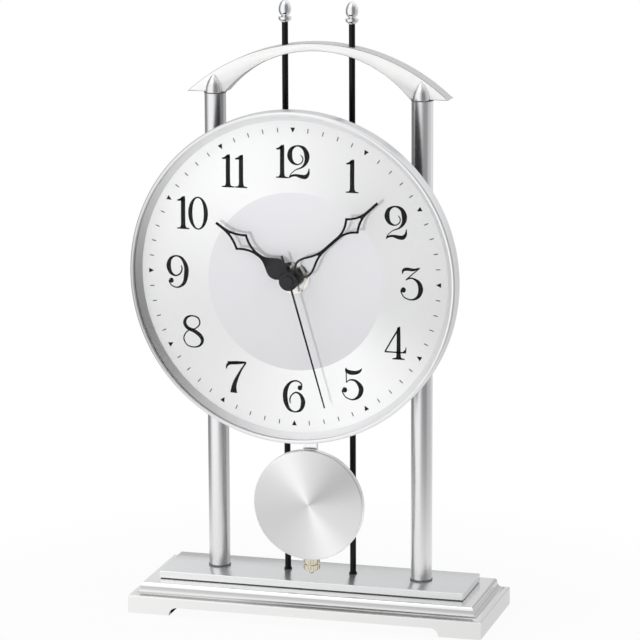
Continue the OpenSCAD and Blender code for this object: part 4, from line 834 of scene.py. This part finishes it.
three = [
    [(-4.25, 12.0, 0.1), (-3.95, 13.6, 0.5), (-2.3, 14.3, 0.68), (0.9, 14.1, 0.55),
     (3.8, 15.1, 0.12)],
    [(3.7, 14.9, 0.15), (0.4, 12.1, 0.18), (-2.6, 9.3, 0.22)],
    [(-2.7, 9.1, 0.1), (-1.4, 10.0, 0.25), (0.6, 10.1, 0.3), (3.2, 8.4, 0.75), (4.2, 5.3, 1.05),
     (3.1, 1.9, 0.7), (0.2, 0.3, 0.3), (-3.2, 1.1, 0.2), (-4.75, 3.2, 0.2), (-4.95, 4.6, 0.3)],
    ball(-3.85, 4.65, 1.15),
]
four = [
    [(1.9, 15.0, 0.2), (1.6, 14.6, 0.3), (-1.7, 9.2, 0.28), (-5.0, 3.4, 0.26)],
    [(-5.15, 3.35, 0.27), (0, 3.3, 0.27), (4.8, 3.3, 0.27)],
    [(1.4, 15.0, 0.4), (1.35, 13.5, 0.75), (1.35, 6.0, 0.85), (1.35, 1.7, 0.95), (1.35, 0.9, 1.3),
     (1.35, 0.45, 2.2)],
    [(-1.5, 0.28, 0.2), (0.0, 0.3, 0.28), (2.7, 0.3, 0.28), (4.2, 0.28, 0.2)],
    [(4.85, 6.0, 0.06), (4.7, 4.8, 0.2), (4.2, 3.7, 0.5), (3.6, 3.4, 0.3)],
]
five = [
    [(-3.15, 15.0, 0.1), (-2.7, 13.6, 0.75), (-0.8, 12.9, 0.95), (1.6, 13.0, 0.8),
     (3.4, 13.8, 0.55), (4.4, 15.1, 0.1)],
    [(-3.0, 14.6, 0.2), (-2.9, 8.1, 0.17)],
    [(-2.9, 8.1, 0.12), (-1.4, 9.4, 0.25), (1.5, 9.1, 0.5), (3.95, 6.0, 1.05), (3.2, 2.3, 0.8),
     (0.2, 0.3, 0.3), (-3.1, 1.2, 0.2), (-4.6, 3.3, 0.2), (-4.8, 4.6, 0.3)],
    ball(-3.7, 4.65, 1.15),
]
six = [
    [(3.75, 12.2, 0.25), (3.2, 13.9, 0.28), (0.9, 14.95, 0.28), (-2.1, 13.7, 0.5),
     (-4.1, 10.0, 0.98), (-4.1, 5.3, 1.0), (-2.5, 1.5, 0.6), (0.4, 0.3, 0.28), (3.2, 1.6, 0.65),
     (4.2, 5.2, 0.98), (3.1, 8.3, 0.6), (0.8, 9.45, 0.3), (-1.3, 8.0, 0.25), (-2.1, 5.9, 0.25),
     (-1.8, 4.2, 0.15)],
    ball(2.75, 11.7, 1.1),
]
seven = [
    [(-4.75, 11.3, 0.12), (-4.2, 13.0, 0.48), (-2.8, 13.95, 0.62), (0.6, 14.2, 0.55),
     (4.7, 14.6, 0.3)],
    [(-4.1, 14.3, 0.4), (0, 14.75, 0.28), (4.8, 14.85, 0.2)],
    [(4.7, 14.5, 0.3), (2.5, 11.2, 0.38), (0.2, 6.8, 0.72), (-1.0, 3.4, 1.05), (-1.3, 0.1, 1.55)],
]
eight = [
    [(-0.8, 14.95, 0.26), (-3.4, 13.8, 0.55), (-4.2, 11.3, 0.7), (-2.7, 9.1, 0.75),
     (0.4, 7.8, 0.8), (3.1, 5.9, 0.85), (4.2, 3.6, 0.7), (3.0, 1.2, 0.42), (0.2, 0.28, 0.25),
     (-3.1, 1.1, 0.22), (-4.7, 3.8, 0.22), (-4.0, 6.4, 0.22), (-2.0, 8.2, 0.22), (1.1, 9.2, 0.22),
     (3.0, 11.4, 0.26), (2.2, 14.1, 0.3)],
]
nine = [
    [(1.8, 10.6, 0.15), (2.2, 9.0, 0.25), (1.4, 6.9, 0.28), (-0.8, 5.75, 0.3), (-3.2, 7.0, 0.7),
     (-4.2, 10.3, 1.0), (-3.2, 13.6, 0.62), (-0.6, 14.95, 0.3), (2.2, 13.9, 0.55),
     (4.1, 10.4, 0.92), (4.2, 6.6, 1.0), (3.1, 2.4, 0.7), (0.2, 0.3, 0.3), (-2.6, 0.9, 0.22),
     (-3.9, 2.5, 0.22), (-3.95, 3.4, 0.3)],
    ball(-2.95, 3.4, 1.1),
]
a = np.radians(np.arange(0, 360, 22.5))
nought = [list(zip(3.72 * np.cos(a), 7.6 + 7.35 * np.sin(a), 0.26 + 0.66 * np.cos(a) ** 2))]
ring_r, twelve_r, numeral_h = 55.4, 53.4, 15.2
plain_hours = enumerate((one, two, three, four, five, six, seven, eight, nine), 1)
numerals = [(hour, [(glyph, 0)]) for hour, glyph in plain_hours]
numerals += [(10, [(one, -4.4), (nought, 2.8)]), (11, [(one, -3.05), (one, 3.15)]),
             (12, [(one, -5.1), (two, 2.6)])]
for hour, glyphs in numerals:
    clock = np.radians(30 * hour)
    reach = twelve_r if hour == 12 else ring_r
    cx, cz = reach * np.sin(clock), reach * np.cos(clock) - numeral_h / 2
    for glyph, shift in glyphs:
        for stroke in glyph:
            looped = glyph is nought or glyph is eight
            ink(*pen(stroke, looped), cx + shift, cz)
for minute in range(60):
    clock = np.radians(6 * minute)
    out, side = np.array([np.sin(clock), np.cos(clock)]), np.array([np.cos(clock), -np.sin(clock)])
    if minute % 5:
        ends, half = (67.0, 69.0), (0.2, 0.2)  # a line
    else:
        ends, half = (66.8, 69.05), (0.06, 1.12)  # a triangle
    stations = np.array([out * r for r in ends])
    widths = np.array([side * h for h in half])
    ink(stations - widths, stations + widths, False, 0, 0)
print_mesh = piece("dial_print", np.concatenate(ink_points), ink_faces, "stand", ())
black_ink = grained("black_ink", (0.008, 0.008, 0.009), roughness=0.6, metallic=0.0,
                    stretch=(900, 900, 900), lines=0.1, bump=0.02, patch=0.05,
                    Specular_IOR_Level=0.15)
dress(print_mesh, black_ink)

# ---- Sloping ring, bezel and glass --------------------------------------------------
# The spun bezel holds the domed glass at its lip and hooks round the pan's flange. A
# low satin ring slopes from the lip to the dial.
ramp = [(72.3, 41.0), (75.6, 41.0), (75.6, 44.0), (75.0, 44.0), (72.3, 41.3)]
slope = faced("sloping_ring_metal", ramp, "stand", ("sloping_ring",), ring=True)
# Painted shade on the sloping ring, deep towards half past eight and lighter towards half past two.
ring_metal = spun("ring_metal", (0, dial_z), (0.86, 0.86, 0.86), 0.45, 0.25,
                  ((-108, 2.5, -0.60, False), (75, 3.0, -0.22, False)), rings=0.01, bump=0.02)
dress(slope, ring_metal)
rim = [(73.6, 37.3), (76.4, 37.3), (76.68, 37.42), (76.8, 37.7), (76.8, 38.1)]
rim += [tuple(v) for v in arc((75.7, 44.9), 1.1, 0, 90, 14)]
rim += [(75.4, 45.95), (75.1, 45.85), (75.0, 45.7), (75.0, 45.3), (75.7, 45.3), (75.7, 38.4),
        (73.6, 38.4)]
bezel = faced("bezel_ring", rim, "stand", ("bezel",), 256, 50, ring=True)
# Painted highlight at the foot and towards three o'clock, painted shade towards half past eight.
bezel_metal = spun("bezel_metal", (0, dial_z), (0.78, 0.78, 0.785), 0.34, 0.85,
                   ((180, 2.0, 0.06, False), (-108, 4.0, -0.30, False), (80, 2.0, 0.14, False)),
                   rings=0.01, bump=0.015)
dress(bezel, bezel_metal)
glass_r, dome_h, dome_f, glass_t = 75.6, 15.8, 61.0, 1.0
sphere = (glass_r ** 2 + dome_h ** 2) / (2 * dome_h)
skins = []
for r in (sphere, sphere - glass_t):
    t = np.radians(np.linspace(np.degrees(np.arcsin(glass_r / r)), 0.05, 60))
    skins.append(np.stack([r * np.sin(t), dome_f - sphere + r * np.cos(t)], axis=1))
lens_line = np.concatenate([skins[0], skins[1][::-1]])
glass = faced("domed_glass", lens_line, "stand", ("glass_dome",), 160, 50, ring=True)
clear = bpy.data.materials.new("clear_glass")
tree = cleared(clear)
place = node(tree, "ShaderNodeTexCoord")
haze = node(tree, "ShaderNodeTexNoise", in_Scale=40.0)
link(tree, place.outputs["Object"], haze.inputs["Vector"])
pale = plus(tree, times(tree, haze.outputs[0], 0.01), 0.985)
tint = node(tree, "ShaderNodeCombineXYZ", in_0=0.99, in_2=0.992)
link(tree, pale, tint.inputs[1])
through = node(tree, "ShaderNodeBsdfTransparent")
link(tree, tint.outputs[0], through.inputs[0])
gloss = node(tree, "ShaderNodeBsdfGlossy", in_Roughness=0.02)
link(tree, tint.outputs[0], gloss.inputs[0])
slant = node(tree, "ShaderNodeLayerWeight", in_Blend=0.5)
bare = plus(tree, times(tree, math(tree, "POWER", slant.outputs["Facing"], 5.0), 0.5), 0.003)
pane = node(tree, "ShaderNodeMixShader")
link(tree, bare, pane.inputs[0])
link(tree, through.outputs[0], pane.inputs[1])
link(tree, gloss.outputs[0], pane.inputs[2])
link(tree, pane.outputs[0], node(tree, "ShaderNodeOutputMaterial").inputs[0])
dress(glass, clear)

# ---- Hands --------------------------------------------------------------------------
# Stamped aluminium, lacquered black: pierced lozenges on slim stems, and a straight
# second hand under a round black cap.
def painted_hub_sheen(tree, x, y, z, nx, ny, nz):
    """Painted highlight and shade: the lacquer is painted greyer on the front flats near the hub,
    and deeper black on the sides and edges, which face away from the light."""
    up = minus(tree, z, dial_z)
    radius = length(tree, x, up)
    flat = spread(tree, math(tree, "ABSOLUTE", ny), 0.7, 0.95, 0.25, 1.0)
    return times(tree, spread(tree, radius, 11.0, 15.0, 4.6, 1.0), flat)


# The hands' colour carries the painted highlight and shade above.
hand_black = shaded(grained("hand_lacquer", (0.006, 0.006, 0.0065), roughness=0.4, metallic=0.0,
                            stretch=(600, 600, 600), lines=0.08, bump=0.02, patch=0.05,
                            Specular_IOR_Level=0.12), painted_hub_sheen)
for name in ("hour_hand", "minute_hand", "second_hand"):
    dress(nodes[name], hand_black)

# ---- Pendulum -----------------------------------------------------------------------
# A spun aluminium bob slides on a folded chromed strip and rests on a knurled nut.
bob_z = 55.8
bob_line = [(0.4, 15.3), (25.85, 15.3), (26.3, 15.45), (26.5, 15.8), (26.5, 18.2), (26.35, 18.55),
            (26.0, 18.7), (25.5, 18.7), (0.4, 18.7)]
bob = faced("bob_disc", bob_line, "bob", ("bob",), 160, 50, up=bob_z)
# Painted highlight along the line from eleven to five o'clock and on the turned edge; painted shade
# towards two and eight o'clock.
spun_bob = spun("spun_bob", (0, bob_z), (0.72, 0.712, 0.716), 0.36, 0.8,
                ((-26.6, 14.0, 0.27, True), (52, 7.0, -0.30, False), (-112, 3.0, -0.14, False)),
                rings=0.01, bump=0.02, rim=0.5)
dress(bob, spun_bob)
dress(nodes["pendulum_strip"], bright)
pale_brass = grained("pale_brass", (0.72, 0.68, 0.56), roughness=0.2, metallic=1.0,
                     stretch=(700, 700, 500), lines=0.35, bump=0.1)
for name in ("pendulum_stud", "rating_nut"):
    dress(nodes[name], pale_brass)
